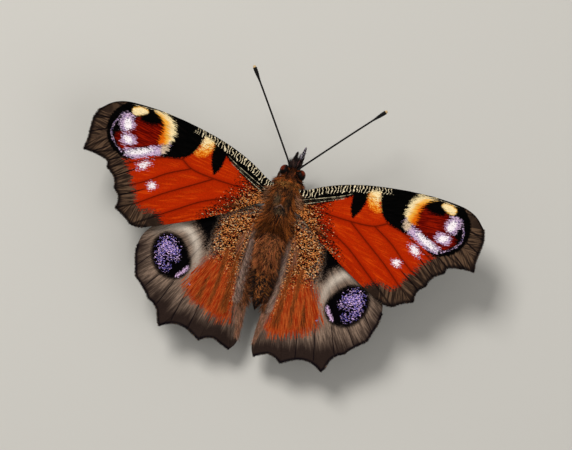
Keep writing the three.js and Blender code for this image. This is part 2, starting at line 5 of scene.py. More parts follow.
import bpy
import numpy as np
from mathutils import Matrix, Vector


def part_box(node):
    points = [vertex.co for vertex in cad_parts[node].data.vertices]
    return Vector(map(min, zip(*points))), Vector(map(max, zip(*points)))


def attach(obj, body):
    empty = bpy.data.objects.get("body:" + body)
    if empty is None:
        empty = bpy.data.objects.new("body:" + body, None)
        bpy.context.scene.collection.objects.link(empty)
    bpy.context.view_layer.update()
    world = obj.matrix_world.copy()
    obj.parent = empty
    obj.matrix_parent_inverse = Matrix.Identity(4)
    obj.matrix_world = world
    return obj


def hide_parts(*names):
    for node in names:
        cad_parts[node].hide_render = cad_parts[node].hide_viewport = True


startTime = time.time()
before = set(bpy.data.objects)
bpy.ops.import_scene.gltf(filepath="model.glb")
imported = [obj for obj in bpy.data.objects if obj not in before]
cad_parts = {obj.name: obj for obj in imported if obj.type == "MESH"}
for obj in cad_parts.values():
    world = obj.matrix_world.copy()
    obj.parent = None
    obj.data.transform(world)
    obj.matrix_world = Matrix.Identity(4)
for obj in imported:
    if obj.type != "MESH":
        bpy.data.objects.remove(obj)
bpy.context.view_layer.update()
mm = 0.001


def tell(text):
    print(f"{time.time() - startTime:6.1f} s  {text}")


# The animal's own frame in millimetres: x to its right, y forward, z up from the floor.
# The middle between the two eyes is known in both frames, which gives the shift between them.
head = {"centre": (0.39, 5.78, 6.6), "turn": 4.0}
eye = {"out": 1.3, "front": 0.1, "up": 0.05, "half": (0.8, 0.92, 1.08), "rows": 48, "columns": 64,
       "gleam": (0.68, 0.45, 0.58)}


def onHead(places):  # places from the head's middle, turned with the head
    p = np.asarray(places, float)
    turn = math.radians(head["turn"])
    c, s = math.cos(turn), math.sin(turn)
    turned = np.stack([p[..., 0] * c + p[..., 1] * s, p[..., 1] * c - p[..., 0] * s, p[..., 2]], axis=-1)
    return turned + np.array(head["centre"])


eyeCorners = [np.array(corner) / mm for name in ("eye_L", "eye_R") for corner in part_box(name)]
frameShift = sum(eyeCorners) / 4 - onHead([0, eye["front"], eye["up"]])


def toMetres(places):
    return (np.asarray(places, float) + frameShift) * mm


# Curves, distances and outlines, all on whole arrays
def smooth(t):  # eased step from 0 to 1
    t = np.clip(t, 0.0, 1.0)
    return t * t * (3 - 2 * t)


def near(x, middle, width):  # a soft bump of height 1
    return np.exp(-((x - middle) / width) ** 2)


def mixed(a, b, t):  # from a to b as t goes from 0 to 1
    t = np.asarray(t)[..., None]
    return np.asarray(a) * (1 - t) + np.asarray(b) * t


def evenly(line, count):  # points at even steps along a broken line
    reach = np.concatenate([[0], np.cumsum(np.linalg.norm(np.diff(line, axis=0), axis=1))])
    steps = np.linspace(0, reach[-1], count)
    return np.stack([np.interp(steps, reach, column) for column in line.T], axis=1)


def curveThrough(knots, count=0, closed=False):  # centripetal Catmull-Rom: cubic pieces through the knots
    p = np.asarray(knots, float)
    ends = (p[-1:], np.vstack([p[:1], p[1:2]])) if closed else (2 * p[:1] - p[1:2], 2 * p[-1:] - p[-2:-1])
    p = np.vstack([ends[0], p, ends[1]])
    pace = np.maximum(np.sqrt(np.linalg.norm(np.diff(p, axis=0), axis=1)), 1e-5)[:, None]
    a, b, c = pace[:-2], pace[1:-1], pace[2:]
    p0, p1, p2, p3 = p[:-3], p[1:-2], p[2:-1], p[3:]
    leave = b * ((p1 - p0) / a - (p2 - p0) / (a + b) + (p2 - p1) / b)
    arrive = b * ((p2 - p1) / b - (p3 - p1) / (b + c) + (p3 - p2) / c)
    s = np.linspace(0, 1, 24, endpoint=False)[None, :, None]
    pieces = ((2 * s**3 - 3 * s**2 + 1) * p1[:, None] + (s**3 - 2 * s**2 + s) * leave[:, None]
              + (3 * s**2 - 2 * s**3) * p2[:, None] + (s**3 - s**2) * arrive[:, None])
    line = np.vstack([pieces.reshape(-1, p.shape[1]), p2[-1:]])
    return evenly(line, count) if count else line


def nearest(places, line):  # distance to a broken line, how far along it that is, and on which side
    a, d = line[:-1], np.diff(line, axis=0)
    size = np.maximum((d * d).sum(1), 1e-12)
    rel = places[:, None, :] - a[None]
    t = np.clip((rel * d).sum(2) / size, 0, 1)
    gaps = np.linalg.norm(rel - t[..., None] * d, axis=2)
    best = gaps.argmin(1)
    row = np.arange(len(places))
    reach = np.concatenate([[0], np.cumsum(np.sqrt(size))])
    hand = np.sign(rel[row, best, 0] * d[best, 1] - rel[row, best, 1] * d[best, 0])
    return gaps[row, best], reach[best] + t[row, best] * np.sqrt(size[best]), hand


def insideBy(places, outline):  # how far each place lies inside a closed curve, below zero outside
    line = curveThrough(outline, 80, closed=True)
    gaps = nearest(places, line)[0]
    (ax, ay), (bx, by) = line[:-1].T, line[1:].T
    x, y = places[:, :1], places[:, 1:2]
    rise = np.where(np.abs(by - ay) < 1e-9, 1e-9, by - ay)
    crossed = ((ay > y) != (by > y)) & (x < (bx - ax) * (y - ay) / rise + ax)
    return np.where(crossed.sum(1) % 2 == 1, gaps, -gaps)


def unit(v):
    return v / np.maximum(np.linalg.norm(v, axis=-1, keepdims=True), 1e-9)


def srgb(*levels):  # a colour read as 0 to 255 levels, in the renderer's linear light
    c = np.array(levels, float) / 255
    return tuple(np.where(c <= 0.04045, c / 12.92, ((c + 0.055) / 1.055) ** 2.4))


# Meshes from arrays
def addMesh(name, corners, quads=(), triangles=(), flat=None):
    quads = np.asarray(quads, np.int32).reshape(-1, 4)
    triangles = np.asarray(triangles, np.int32).reshape(-1, 3)
    mesh = bpy.data.meshes.new(name)
    mesh.vertices.add(len(corners))
    mesh.vertices.foreach_set("co", toMetres(corners).astype(np.float32).ravel())
    loops = np.concatenate([quads.ravel(), triangles.ravel()])
    starts = np.concatenate([np.arange(len(quads)) * 4, quads.size + np.arange(len(triangles)) * 3])
    mesh.loops.add(len(loops))
    mesh.loops.foreach_set("vertex_index", loops.astype(np.int32))
    mesh.polygons.add(len(starts))
    mesh.polygons.foreach_set("loop_start", starts.astype(np.int32))
    mesh.update(calc_edges=True)
    smoothFace = np.ones(len(starts), bool) if flat is None else ~flat
    mesh.polygons.foreach_set("use_smooth", smoothFace)
    mesh.validate()
    obj = bpy.data.objects.new(name, mesh)
    bpy.context.collection.objects.link(obj)
    return obj


def keep(obj, name, values):  # a value, vector or colour at each corner
    values = np.asarray(values, np.float32)
    size = 1 if values.ndim == 1 else values.shape[1]
    kind, field = {1: ("FLOAT", "value"), 3: ("FLOAT_VECTOR", "vector"), 4: ("FLOAT_COLOR", "color")}[size]
    layer = obj.data.attributes.new(name, kind, "POINT")
    layer.data.foreach_set(field, values.ravel())


def opaque(colours):
    return np.concatenate([colours, np.ones((*colours.shape[:-1], 1))], axis=-1)


def inset(chart):  # a flat map from 0 to 1, drawn in a little from its edges
    return chart * 0.94 + 0.03


def setChart(obj, places):  # the flat map, with one place for each corner of each face
    layer = obj.data.uv_layers.new(name="OFBake")
    layer.data.foreach_set("uv", places.astype(np.float32).ravel())


def unwrap(obj, places):  # the same from one place for each corner of the mesh
    loops = np.empty(len(obj.data.loops), np.int32)
    obj.data.loops.foreach_get("vertex_index", loops)
    setChart(obj, places[loops])


def addPiece(obj, slot, materials, *nodes):
    for material in materials:
        obj.data.materials.append(material)
    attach(obj, "root")
    if nodes:
        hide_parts(*nodes)


def gridQuads(rows, columns, wrap=False):  # faces of a grid of corners, row after row
    i, k = np.meshgrid(np.arange(rows - 1), np.arange(columns if wrap else columns - 1), indexing="ij")
    a, b = i * columns + k, i * columns + (k + 1) % columns
    return np.stack([a, b, b + columns, a + columns], axis=-1).reshape(-1, 4)


# Shader wiring. An input is a value, a colour, another node's output or the name of an attribute.
def feed(tree, node, inputs):
    for key, entry in inputs.items() if isinstance(inputs, dict) else enumerate(inputs):
        socket = node.inputs[key]
        if isinstance(entry, str):
            entry = value(tree, entry, {"VALUE": "Fac", "VECTOR": "Vector"}[socket.type])
        if isinstance(entry, bpy.types.NodeSocket):
            tree.links.new(entry, socket)
        elif socket.type == "RGBA" and len(entry) == 3:
            socket.default_value = (*entry, 1)
        else:
            socket.default_value = entry


def wire(tree, kind, inputs=(), out=0, **settings):
    node = tree.nodes.new("ShaderNode" + kind)
    for key, setting in settings.items():
        setattr(node, key, setting)
    feed(tree, node, inputs)
    return node.outputs if out is None else node.outputs[out]


def value(tree, name, out="Fac"):
    return wire(tree, "Attribute", attribute_name=name, out=out)


def noiseAt(tree, place, scale, detail=2.0):
    return wire(tree, "TexNoise", {"Vector": place, "Scale": scale, "Detail": detail})


def objectPlace(tree):
    return wire(tree, "TexCoord", out="Object")


def maths(tree, operation, *values):
    return wire(tree, "Math", values, operation=operation)


def times(tree, a, b):
    return maths(tree, "MULTIPLY", a, b)


def minus(tree, a, b):
    return maths(tree, "SUBTRACT", a, b)


def timesPlus(tree, a, b, c):  # a times b, plus c
    return maths(tree, "MULTIPLY_ADD", a, b, c)


def frayedBy(tree, push, amount, field, middle=0.5):  # a field pushed to and fro by a noise
    return timesPlus(tree, minus(tree, push, middle), amount, field)


def ramp(tree, field, low, high, start=0.0, end=1.0):
    inputs = {"Value": field, "From Min": low, "From Max": high, "To Min": start, "To Max": end}
    return wire(tree, "MapRange", inputs, interpolation_type="SMOOTHSTEP")


def blend(tree, factor, a, b):
    return wire(tree, "Mix", {0: factor, 6: a, 7: b}, out=2, data_type="RGBA")


# Paints laid over a colour. Each coat has its paint, the field that brings it in, that field's values where
# it starts and where it is full, and how much of it there is at most.
def tinged(tree, colour, *coats):
    for paint, field, low, high, *most in coats:
        colour = blend(tree, ramp(tree, field, low, high, 0.0, *(most or [1.0])), colour, paint)
    return colour


def scaled(tree, colour, level):
    return wire(tree, "VectorMath", {0: colour, "Scale": level}, operation="SCALE")


def finished(tree, shader, colour, height=None, strength=0.5, distance=0.0, invert=False):  # distance in m
    tree.links.new(colour, shader["Base Color"])
    if height:
        relief = {"Strength": strength, "Distance": distance, "Height": height}
        tree.links.new(wire(tree, "Bump", relief, invert=invert), shader["Normal"])


def newMaterial(name, roughness, specular=0.5, **more):
    material = bpy.data.materials.new(name)
    material.use_nodes = True
    tree = material.node_tree
    shader = tree.nodes["Principled BSDF"]
    feed(tree, shader, {"Roughness": roughness, "Specular IOR Level": specular, **more})
    return material, tree, shader.inputs


def newGroup(name, inputs, outputs):
    group = bpy.data.node_groups.new(name, "ShaderNodeTree")
    for label in (*inputs, *outputs):
        kind = "NodeSocketVector" if label in ("Place", "Ray") else "NodeSocketFloat"
        way = "INPUT" if label in inputs else "OUTPUT"
        group.interface.new_socket(name=label, in_out=way, socket_type=kind)
    start, end = group.nodes.new("NodeGroupInput"), group.nodes.new("NodeGroupOutput")
    return group, start.outputs, end.inputs


def stretched(tree, place, wide, high):  # a place measured in steps of two sizes
    x, y, z = (wire(tree, "SeparateXYZ", [place], out=k) for k in range(3))
    return wire(tree, "CombineXYZ", [maths(tree, "DIVIDE", x, wide), maths(tree, "DIVIDE", y, high), z])


def scaleRows():  # wing scales: a stretched cell pattern gives each scale two draws and a rounded height
    group, given, made = newGroup("scaleRows", ("Place", "Long", "Wide"), ("Draw", "Second Draw", "Height"))
    place = stretched(group, given["Place"], given["Long"], given["Wide"])
    cells = {"Vector": place, "Scale": 1.0, "Randomness": 0.85}
    colour = wire(group, "TexVoronoi", cells, out="Color", voronoi_dimensions="2D")
    distance = wire(group, "TexVoronoi", cells, out="Distance", voronoi_dimensions="2D")
    group.links.new(wire(group, "SeparateColor", [colour], out=0), made["Draw"])
    group.links.new(wire(group, "SeparateColor", [colour], out=1), made["Second Draw"])
    group.links.new(minus(group, 1.0, distance), made["Height"])
    return group


def scaleEdge():  # a patch of scales: its field in mm, frayed scale by scale, as a mask from 0 to 1
    group, given, made = newGroup("scaleEdge", ("Field", "Draw", "Fray", "Soft"), ("Mask",))
    frayed = frayedBy(group, given["Draw"], given["Fray"], given["Field"])
    group.links.new(ramp(group, frayed, times(group, given["Soft"], -1.0), given["Soft"]), made["Mask"])
    return group


def streaks():  # fine lines along the rays of a wing: stretched noise, from 0 to 1
    group, given, made = newGroup("streaks", ("Ray", "Across", "Along"), ("Streak",))
    place = stretched(group, given["Ray"], given["Across"], given["Along"])
    group.links.new(ramp(group, noiseAt(group, place, 1.0), 0.32, 0.68), made["Streak"])
    return group


scaleGroup, edgeGroup, streakGroup = scaleRows(), scaleEdge(), streaks()
scaleSizes = {"upper": (0.165, 0.08), "under": (0.19, 0.09)}  # length and width of the wing scales, in mm


def scalePattern(tree, face):
    long, wide = scaleSizes[face]
    outs = wire(tree, "Group", {"Place": "place", "Long": long, "Wide": wide}, None, node_tree=scaleGroup)
    return outs["Draw"], outs["Second Draw"], outs["Height"]


def streakPattern(tree, across, along, ray="ray"):
    return wire(tree, "Group", {"Ray": ray, "Across": across, "Along": along}, node_tree=streakGroup)


def patch(tree, field, draw, fray, soft):
    inputs = {"Field": field, "Draw": draw, "Fray": fray, "Soft": soft}
    return wire(tree, "Group", inputs, node_tree=edgeGroup)


# Marks laid over a colour. Each has its paint, its field in mm, and how frayed and how soft its edge is.
def marked(tree, colour, draw, *marks):
    for paint, field, fray, soft in marks:
        colour = blend(tree, patch(tree, field, draw, fray, soft), colour, paint)
    return colour


tell("frame loaded, shared shader groups made")

# Wings. Outlines and marks are drawn on the right side: x out from the middle line, y forward.
rise = {"root": 7.6, "slope": 0.085, "bend": 0.0009, "from": 2.7}
below = {"gap": 1.04, "slope": 0.05, "from": -3.0}
innerFold = {"width": 3.4, "drop": 1.3, "start": -3.0, "full": -8.0}
sides = {"L": -1, "R": 1}

forewing = {
    "steps": (240, 176), "thick": (0.2, 0.07), "lift": -0.12, "rayFrom": (-1.5, 1.5), "rayTurn": 1,
    "pivot": (2.5, 1.7), "sweep": {"L": 1.9, "R": -1.9},
    "front": [(0.8, 2.9), (3.4, 3.8), (5.3, 4.85), (8.2, 6.1), (12, 7.2), (16.5, 7.95), (21, 8.35),
              (25, 8.35), (27.9, 7.95), (29.8, 7.0), (31.2, 5.6)],
    "outer": [
        [(31.2, 5.6), (31.65, 4.0), (31.6, 2.1), (31.45, 0.3), (31.6, -1.35)],
        [(31.6, -1.35), (30.0, -1.35), (28.4, -1.6), (27.5, -1.95), (27.3, -2.85)],
        [(27.3, -2.85), (26.5, -3.35), (25.8, -4.0), (25.4, -4.7), (25.2, -5.6)],
        [(25.2, -5.6), (24.3, -6.5), (24.0, -7.4), (24.1, -8.5)],
        [(24.1, -8.5), (22.6, -9.2), (21.1, -10.2)], [(21.1, -10.2), (20.0, -10.2), (18.8, -9.85)]],
    "rear": [(18.8, -9.85), (17.0, -8.95), (13.5, -7.15), (10, -5.1), (6.4, -2.7), (4.0, -0.9), (0.8, 0.4)],
    "veins": {
        "subcosta": [(1.2, 2.5), (5.0, 4.1), (9.5, 6.0), (14, 7.0), (18.5, 8.15)],
        "radius": [(1.2, 2.1), (7, 3.95), (11, 5.25), (14.6, 5.9), (18.5, 6.45), (22.5, 6.5), (27, 5.6),
                   (31.6, 3.9)],
        "radius1": [(13.2, 5.65), (17.5, 7.0), (22.6, 8.4)],
        "radius4": [(22.5, 6.5), (26, 6.9), (29.2, 7.35)],
        "media1": [(15.1, 5.3), (20, 5.05), (25.2, 3.8), (28.0, 2.0), (31.6, -1.35)],
        "media2": [(15.9, 4.2), (18.6, 3.9), (21.4, 3.0), (25.5, 0.8), (30.0, -1.35)],
        "media3": [(16.7, 2.2), (20, 1.3), (23.6, -0.7), (27.3, -2.85)],
        "cellEnd": [(14.6, 5.9), (15.9, 4.2), (16.7, 2.2)],
        "cubitus": [(1.2, 1.5), (5.5, 1.1), (11.1, 0.9), (14.9, 1.25), (16.7, 2.2)],
        "cubitus1": [(14.9, 1.25), (18.2, -0.7), (21.3, -3.2), (25.2, -5.6)],
        "cubitus2": [(11.1, 0.9), (14.6, -1.6), (18, -4.05), (21.4, -6.8), (24.1, -8.5)],
        "anal": [(1.2, 1.0), (6, -0.5), (11.4, -2.9), (15.2, -5.65), (21.1, -10.2)]},
    "folds": [[(23.1, -1.7), (25.8, -3.8)], [(20.4, -4.0), (24.4, -6.6)], [(25.9, -0.7), (27.6, -1.9)],
              [(28.3, 0.2), (30.2, -1.3)], [(29.2, 2.9), (31.6, 1.6)], [(29.4, 4.6), (31.7, 4.4)]],
    "rails": [[(2.6, 1.75), (3.9, 2.35), (6.7, 3.5), (9.3, 4.65), (9.9, 5.0)],
              [(3.6, 1.5), (5.4, 2.35), (7.0, 3.1), (9.2, 4.1)],
              [(22.2, 8.22), (23.4, 8.15), (24.8, 8.1), (26.3, 7.9)]],
}
hindwing = {
    "steps": (230, 184), "thick": (0.2, 0.07), "lift": 0.12, "rayFrom": (2.0, 1.0), "rayTurn": -1,
    "push": {"L": -0.4, "R": 0.45}, "pushFrom": -11.0, "pushFull": -16.0, "pushWidth": 2.4,
    "front": [(0.8, -0.5), (3.4, -0.6), (6.5, -1.1), (9.6, -2.2), (12.8, -3.9), (15.6, -5.9), (17.9, -8.2),
              (19.3, -10.3), (19.65, -12.0)],
    "outer": [
        [(19.65, -12.0), (19.5, -13.6), (19.0, -15.3)],
        [(19.0, -15.3), (18.5, -16.8), (17.6, -17.55), (17.0, -18.1)],
        [(17.0, -18.1), (16.2, -18.9), (15.7, -19.55), (14.9, -19.9)],
        [(14.9, -19.9), (14.0, -20.8), (13.6, -21.8), (13.4, -22.5), (12.95, -23.15)],
        [(12.95, -23.15), (12.1, -22.6), (11.2, -22.2), (10.1, -22.05), (9.1, -22.2)],
        [(9.1, -22.2), (8.2, -22.55), (6.55, -23.5)],
        [(6.55, -23.5), (5.6, -22.85), (4.4, -22.55), (3.4, -22.85), (1.9, -23.4)]],
    "rear": [(1.9, -23.4), (1.25, -22.1), (1.1, -20.1), (1.2, -17), (1.6, -14), (2.05, -10.5), (2.4, -6.5),
             (2.3, -3.6), (0.8, -2.4)],
    "veins": {
        "radius": [(1.2, -1.0), (4.2, -1.7), (8.5, -2.9), (13, -5.6), (16.8, -8.9), (19.6, -12.4)],
        "sector": [(4.2, -1.7), (7.4, -4.1), (11, -6.9), (14.5, -10.2), (17.1, -13.2), (19.0, -15.3)],
        "media1": [(8.0, -4.6), (12, -9.8), (15.2, -15.1), (17.0, -18.1)],
        "media2": [(8.9, -6.9), (11.3, -11.6), (12.9, -15.7), (14.9, -19.9)],
        "media3": [(8.0, -10.2), (9.3, -15), (10.7, -18.6), (11.7, -21.4), (12.95, -23.15)],
        "cellEnd": [(8.2, -5.0), (8.9, -6.9), (8.0, -10.2)],
        "cubitus": [(1.2, -1.7), (4.2, -3.9), (6.0, -7.2), (8.0, -10.2)],
        "cubitus1": [(7.0, -8.8), (7.0, -12.5), (7.2, -16), (8.1, -20), (9.1, -22.2)],
        "cubitus2": [(5.4, -6.0), (5.1, -10), (5.2, -14), (5.7, -18.6), (6.55, -23.5)],
        "anal": [(1.2, -2.0), (3.2, -6.0), (3.4, -11), (3.0, -16.5), (1.9, -23.4)]},
    "folds": [[(9.5, -12.7), (10.1, -15.6), (11.4, -21.7)], [(12.7, -16.0), (14.2, -19.9)],
              [(14.9, -15.2), (16.7, -17.8)], [(17.1, -12.9), (18.9, -15.2)], [(7.8, -17.5), (8.6, -22.3)]],
}


def foreHeight(x):  # the middle layer of a forewing rises outward in a shallow curve
    out = np.abs(x) - rise["from"]
    return rise["root"] + rise["slope"] * out + rise["bend"] * out * out


def hindHeight(x, y):  # lower than the forewing, falling to the rear and folded down beside the abdomen
    inner = 1 - smooth((x - 1.2) / innerFold["width"])
    back = smooth((innerFold["start"] - y) / (innerFold["start"] - innerFold["full"]))
    drop = below["gap"] + below["slope"] * np.maximum(below["from"] - y, 0)
    return foreHeight(x) - drop - innerFold["drop"] * inner * back


def spread(wing, name, x, y):  # flat places of one side's wing, and the height of its middle layer there
    side = sides[name]
    if wing is forewing:
        turn = math.radians(wing["sweep"][name])
        dx, dy = x - wing["pivot"][0], y - wing["pivot"][1]
        outX = wing["pivot"][0] + dx * math.cos(turn) - dy * math.sin(turn)
        outY = wing["pivot"][1] + dx * math.sin(turn) + dy * math.cos(turn)
        return np.stack([side * outX, outY, foreHeight(x) + wing["lift"]], axis=-1)
    back = smooth((wing["pushFrom"] - y) / (wing["pushFrom"] - wing["pushFull"]))
    moved = x + wing["push"][name] * back * (1 - smooth((x - 1) / wing["pushWidth"]))
    return np.stack([side * moved, y, hindHeight(moved, y) + wing["lift"]], axis=-1)


def outerEdge(wing):
    return np.vstack([curveThrough(run) for run in wing["outer"]])


def coonsPatch(wing):  # a four-sided patch: two ruled surfaces between opposite edges, less the flat one
    rows, columns = wing["steps"]
    front = curveThrough(wing["front"], rows)
    rear = curveThrough(wing["rear"], rows)[::-1]
    tip = evenly(outerEdge(wing), columns)[::-1]
    root = evenly(np.stack([rear[0], front[0]]), columns)
    u = np.linspace(0, 1, rows)[:, None, None]
    v = np.linspace(0, 1, columns)[None, :, None]
    ruled = (1 - v) * rear[:, None] + v * front[:, None] + (1 - u) * root[None] + u * tip[None]
    plain = ((1 - u) * ((1 - v) * rear[0] + v * front[0]) + u * ((1 - v) * rear[-1] + v * front[-1]))
    return (ruled - plain).reshape(-1, 2)


def wingFacts(wing, flat):  # distances that place every mark: veins, folds, margin, rays
    facts = {}  # in mm, apart from the angle and the signs
    lines = {"vein": (wing["veins"].values(), 40), "crease": (wing["folds"], 12)}
    if "rails" in wing:
        lines["rail"] = (wing["rails"], 20)
    for key, (runs, count) in lines.items():
        found = [nearest(flat, curveThrough(run, count)) for run in runs]
        gaps, hands = (np.stack([one[k] for one in found]) for k in (0, 2))
        facts[key] = gaps.min(0)
        facts[key + "Side"] = facts[key] * hands[gaps.argmin(0), np.arange(len(flat))]
    outer = outerEdge(wing)
    facts["margin"] = nearest(flat, evenly(outer, 260))[0]
    facts["marginAlong"] = nearest(flat, curveThrough(evenly(outer, 6), 80))[1]  # the edge without its teeth
    facts["edgeIn"], facts["edgeAlong"], _ = nearest(flat, curveThrough(wing["front"], 120))
    dx, dy = flat[:, 0] - wing["rayFrom"][0], (flat[:, 1] - wing["rayFrom"][1]) * wing["rayTurn"]
    facts["reach"], facts["angle"] = np.hypot(dx, dy), np.arctan2(dy, dx)
    return facts


relief = {"ridge": 0.075, "ridgeWidth": 0.17, "sag": 0.16, "sagWidth": 1.0, "crease": 0.05,
          "creaseWidth": 0.14}


def wingMesh(wing, name, label, flat, facts, marks):
    rows, columns = wing["steps"]
    u = np.repeat(np.linspace(0, 1, rows), columns)
    height = (relief["ridge"] * near(facts["vein"], 0, relief["ridgeWidth"]) * (1.15 - 0.6 * u)
              - relief["sag"] * (1 - near(facts["vein"], 0, relief["sagWidth"])) * smooth(u * 3)
              - relief["crease"] * near(facts["crease"], 0, relief["creaseWidth"]))
    half = (wing["thick"][0] + (wing["thick"][1] - wing["thick"][0]) * smooth(u * 2)) / 2
    middle = spread(wing, name, flat[:, 0], flat[:, 1])
    upper, under = middle.copy(), middle.copy()
    upper[:, 2] += height + half
    under[:, 2] += height - half
    quads = gridQuads(rows, columns)[:, ::-1]
    count = rows * columns
    ring = np.concatenate([np.arange(columns), np.arange(1, rows) * columns + columns - 1,
                           (rows - 1) * columns + np.arange(columns - 2, -1, -1),
                           np.arange(rows - 2, 0, -1) * columns])
    step = np.roll(ring, -1)
    rim = np.stack([ring, step, step + count, ring + count], axis=1)
    faces = np.vstack([quads, quads[:, ::-1] + count, rim])
    if sides[name] < 0:
        faces = faces[:, ::-1]
    isRim = np.arange(len(faces)) >= 2 * len(quads)
    obj = addMesh(f"{label}_{name}", np.vstack([upper, under]), faces, flat=isRim)
    under = np.arange(len(faces)) >= len(quads)
    obj.data.polygons.foreach_set("material_index", under.astype(np.int32))
    apart = 40.0 * (sides[name] > 0)  # the two sides draw their patterns from different places
    for key, field in {**marks, **facts}.items():
        if key not in ("angle", "marginAlong"):
            keep(obj, key, np.tile(field, 2))
    charts = {"place": flat.T, "ray": (facts["angle"] * 22, facts["reach"]),
              "edgeRay": (facts["marginAlong"], facts["margin"])}
    for key, (across, along) in charts.items():
        keep(obj, key, np.tile(np.stack([across, along, np.full(count, apart)], axis=1), (2, 1)))
    low, high = flat.min(0), flat.max(0)
    chart = (flat - low) / (high - low).max() * 0.47 + 0.015
    unwrap(obj, np.vstack([chart, chart + np.array([0.5, 0.0])]))
    return obj


# Marks of the forewing, as outlines on its upper side
forewingMarks = {
    "black": [(26.9, 8.35), (28.4, 6.9), (29.2, 5.5), (29.4, 3.5), (28.8, 1.7), (27.6, 0.3), (26.2, -0.4),
              (24.8, -0.75), (23.8, -0.2), (22.4, 0.6), (20.9, 1.2), (19.3, 1.6), (17.6, 2.05), (16.2, 2.7),
              (15.4, 3.6), (14.8, 5.1), (14.4, 7.1), (18, 8.3), (23, 8.7)],
    "cellSpot": [(12.5, 6.6), (10.3, 5.9), (10.3, 4.8), (10.45, 3.6), (10.8, 2.3), (11.3, 1.55), (11.75, 2.1),
                 (12.3, 3.4), (12.6, 4.9)],
    "costa": [(0.5, 3.4), (0.5, 0.2), (2.6, 0.95), (5.4, 2.05), (7.3, 3.0), (9.6, 4.4), (12.1, 5.85),
              (14.0, 6.4), (17.6, 7.6), (17.4, 9.2), (8, 6.8)],
    "cream": [(14.3, 6.7), (13.3, 6.75), (12.75, 6.2), (12.75, 5.2), (12.9, 4.3), (13.4, 3.6), (14.6, 3.2),
              (15.2, 3.7), (14.7, 4.9)],
    "core": [(25.6, 5.8), (24.6, 6.4), (23.2, 6.7), (21.6, 6.4), (21.0, 5.2), (20.7, 2.9), (23.0, 1.9),
             (24.9, 0.8), (26.1, 0.6), (27.4, 1.8), (27.5, 2.7), (26.4, 3.5)],
    "crescent": [(22.9, 8.1), (21.6, 8.2), (20.5, 8.0), (19.5, 7.1), (19.05, 5.8), (19.0, 4.5), (19.5, 3.5),
                 (20.8, 3.15), (21.0, 4.2), (21.0, 5.4), (21.3, 6.6), (22.1, 7.55)],
    "cap": [(26.4, 7.3), (25.4, 7.9), (24.2, 7.85), (23.9, 7.3), (24.9, 6.6), (26.1, 6.45)],
    "pupil": [(24.4, 6.9), (22.85, 7.5), (21.7, 6.9), (22.0, 6.0), (23.7, 5.65), (24.85, 6.0)],
    "lilacFront": [(27.3, 6.1), (26.4, 6.2), (25.7, 5.7), (25.3, 4.5), (25.9, 3.7), (27.0, 3.6), (27.5, 4.5),
                   (27.6, 5.4)],
    "lilacMiddle": [(26.8, 2.6), (26.0, 3.2), (24.6, 3.0), (24.3, 2.2), (25.2, 1.6), (26.2, 1.5)],
    "lilacRear": [(25.6, 0.8), (24.3, 1.2), (22.6, 2.0), (20.3, 3.2), (19.15, 3.8), (19.4, 2.4), (20.9, 1.35),
                  (22.9, 0.35), (24.2, -0.15), (25.3, 0.1)],
}
forewingSpots = {  # middle, half length, half width, turn in degrees
    "whiteFront": ((26.35, 4.65), 0.85, 0.5, 70), "whiteMiddle": ((25.6, 2.35), 0.75, 0.42, 20),
    "whiteRear": ((23.3, 1.2), 1.7, 0.42, -26), "beige": ((19.6, 2.9), 1.3, 0.8, 65),
    "spotFront": ((22.0, -0.65), 1.05, 0.55, -35), "spotRear": ((19.85, -3.35), 0.62, 0.54, -35),
}
speckArc = [(27.9, 5.3), (28.4, 4.0), (28.4, 2.7), (27.8, 1.6), (26.9, 0.85), (25.9, 0.1)]


def spotBy(flat, spot):  # how far inside a turned oval each place lies
    (x, y), long, wide, turn = spot
    c, s = math.cos(math.radians(turn)), math.sin(math.radians(turn))
    dx, dy = flat[:, 0] - x, flat[:, 1] - y
    a, b = (dx * c + dy * s) / long, (dy * c - dx * s) / wide
    return (1 - np.hypot(a, b)) * min(long, wide)


def forewingFields(flat, facts):
    by = {key: insideBy(flat, outline) for key, outline in forewingMarks.items()}
    spot = {key: spotBy(flat, oval) for key, oval in forewingSpots.items()}
    lilac = [by["lilacFront"], by["lilacMiddle"], by["lilacRear"], spot["spotFront"], spot["spotRear"]]
    white = [spot["whiteFront"], spot["whiteMiddle"], spot["whiteRear"], spot["spotFront"] - 0.12,
             spot["spotRear"] - 0.05]
    middle = 7.9 + 0.75 * np.maximum(1.3 - flat[:, 1], 0)
    rear = 1.0 - 3.4 * smooth((nearest(flat, curveThrough(forewing["rear"], 60))[0] - 0.7) / 2.0)
    root = np.maximum((middle - facts["reach"]) * 1.15, rear - 3.2 * smooth((facts["reach"] - 12.0) / 4.5))
    apex = np.minimum(flat[:, 0] - 25.5 + 0.25 * np.abs(flat[:, 1] - 4), flat[:, 1] + 0.9)
    return {
        **{key: by[key] for key in ("cream", "core", "crescent", "cap", "pupil")},
        "black": np.maximum.reduce([by["black"], by["cellSpot"], by["costa"], 0.16 - facts["edgeIn"]]),
        "zebra": np.minimum(by["costa"], facts["edgeIn"] - 0.1), "beige": spot["beige"], "dust": root,
        "lilac": np.maximum.reduce(lilac), "white": np.maximum.reduce(white), "apex": apex,
        "speck": 0.3 - nearest(flat, curveThrough(speckArc, 60))[0],
        "warmth": flat[:, 1] * 0.8 + flat[:, 0] * 0.35}


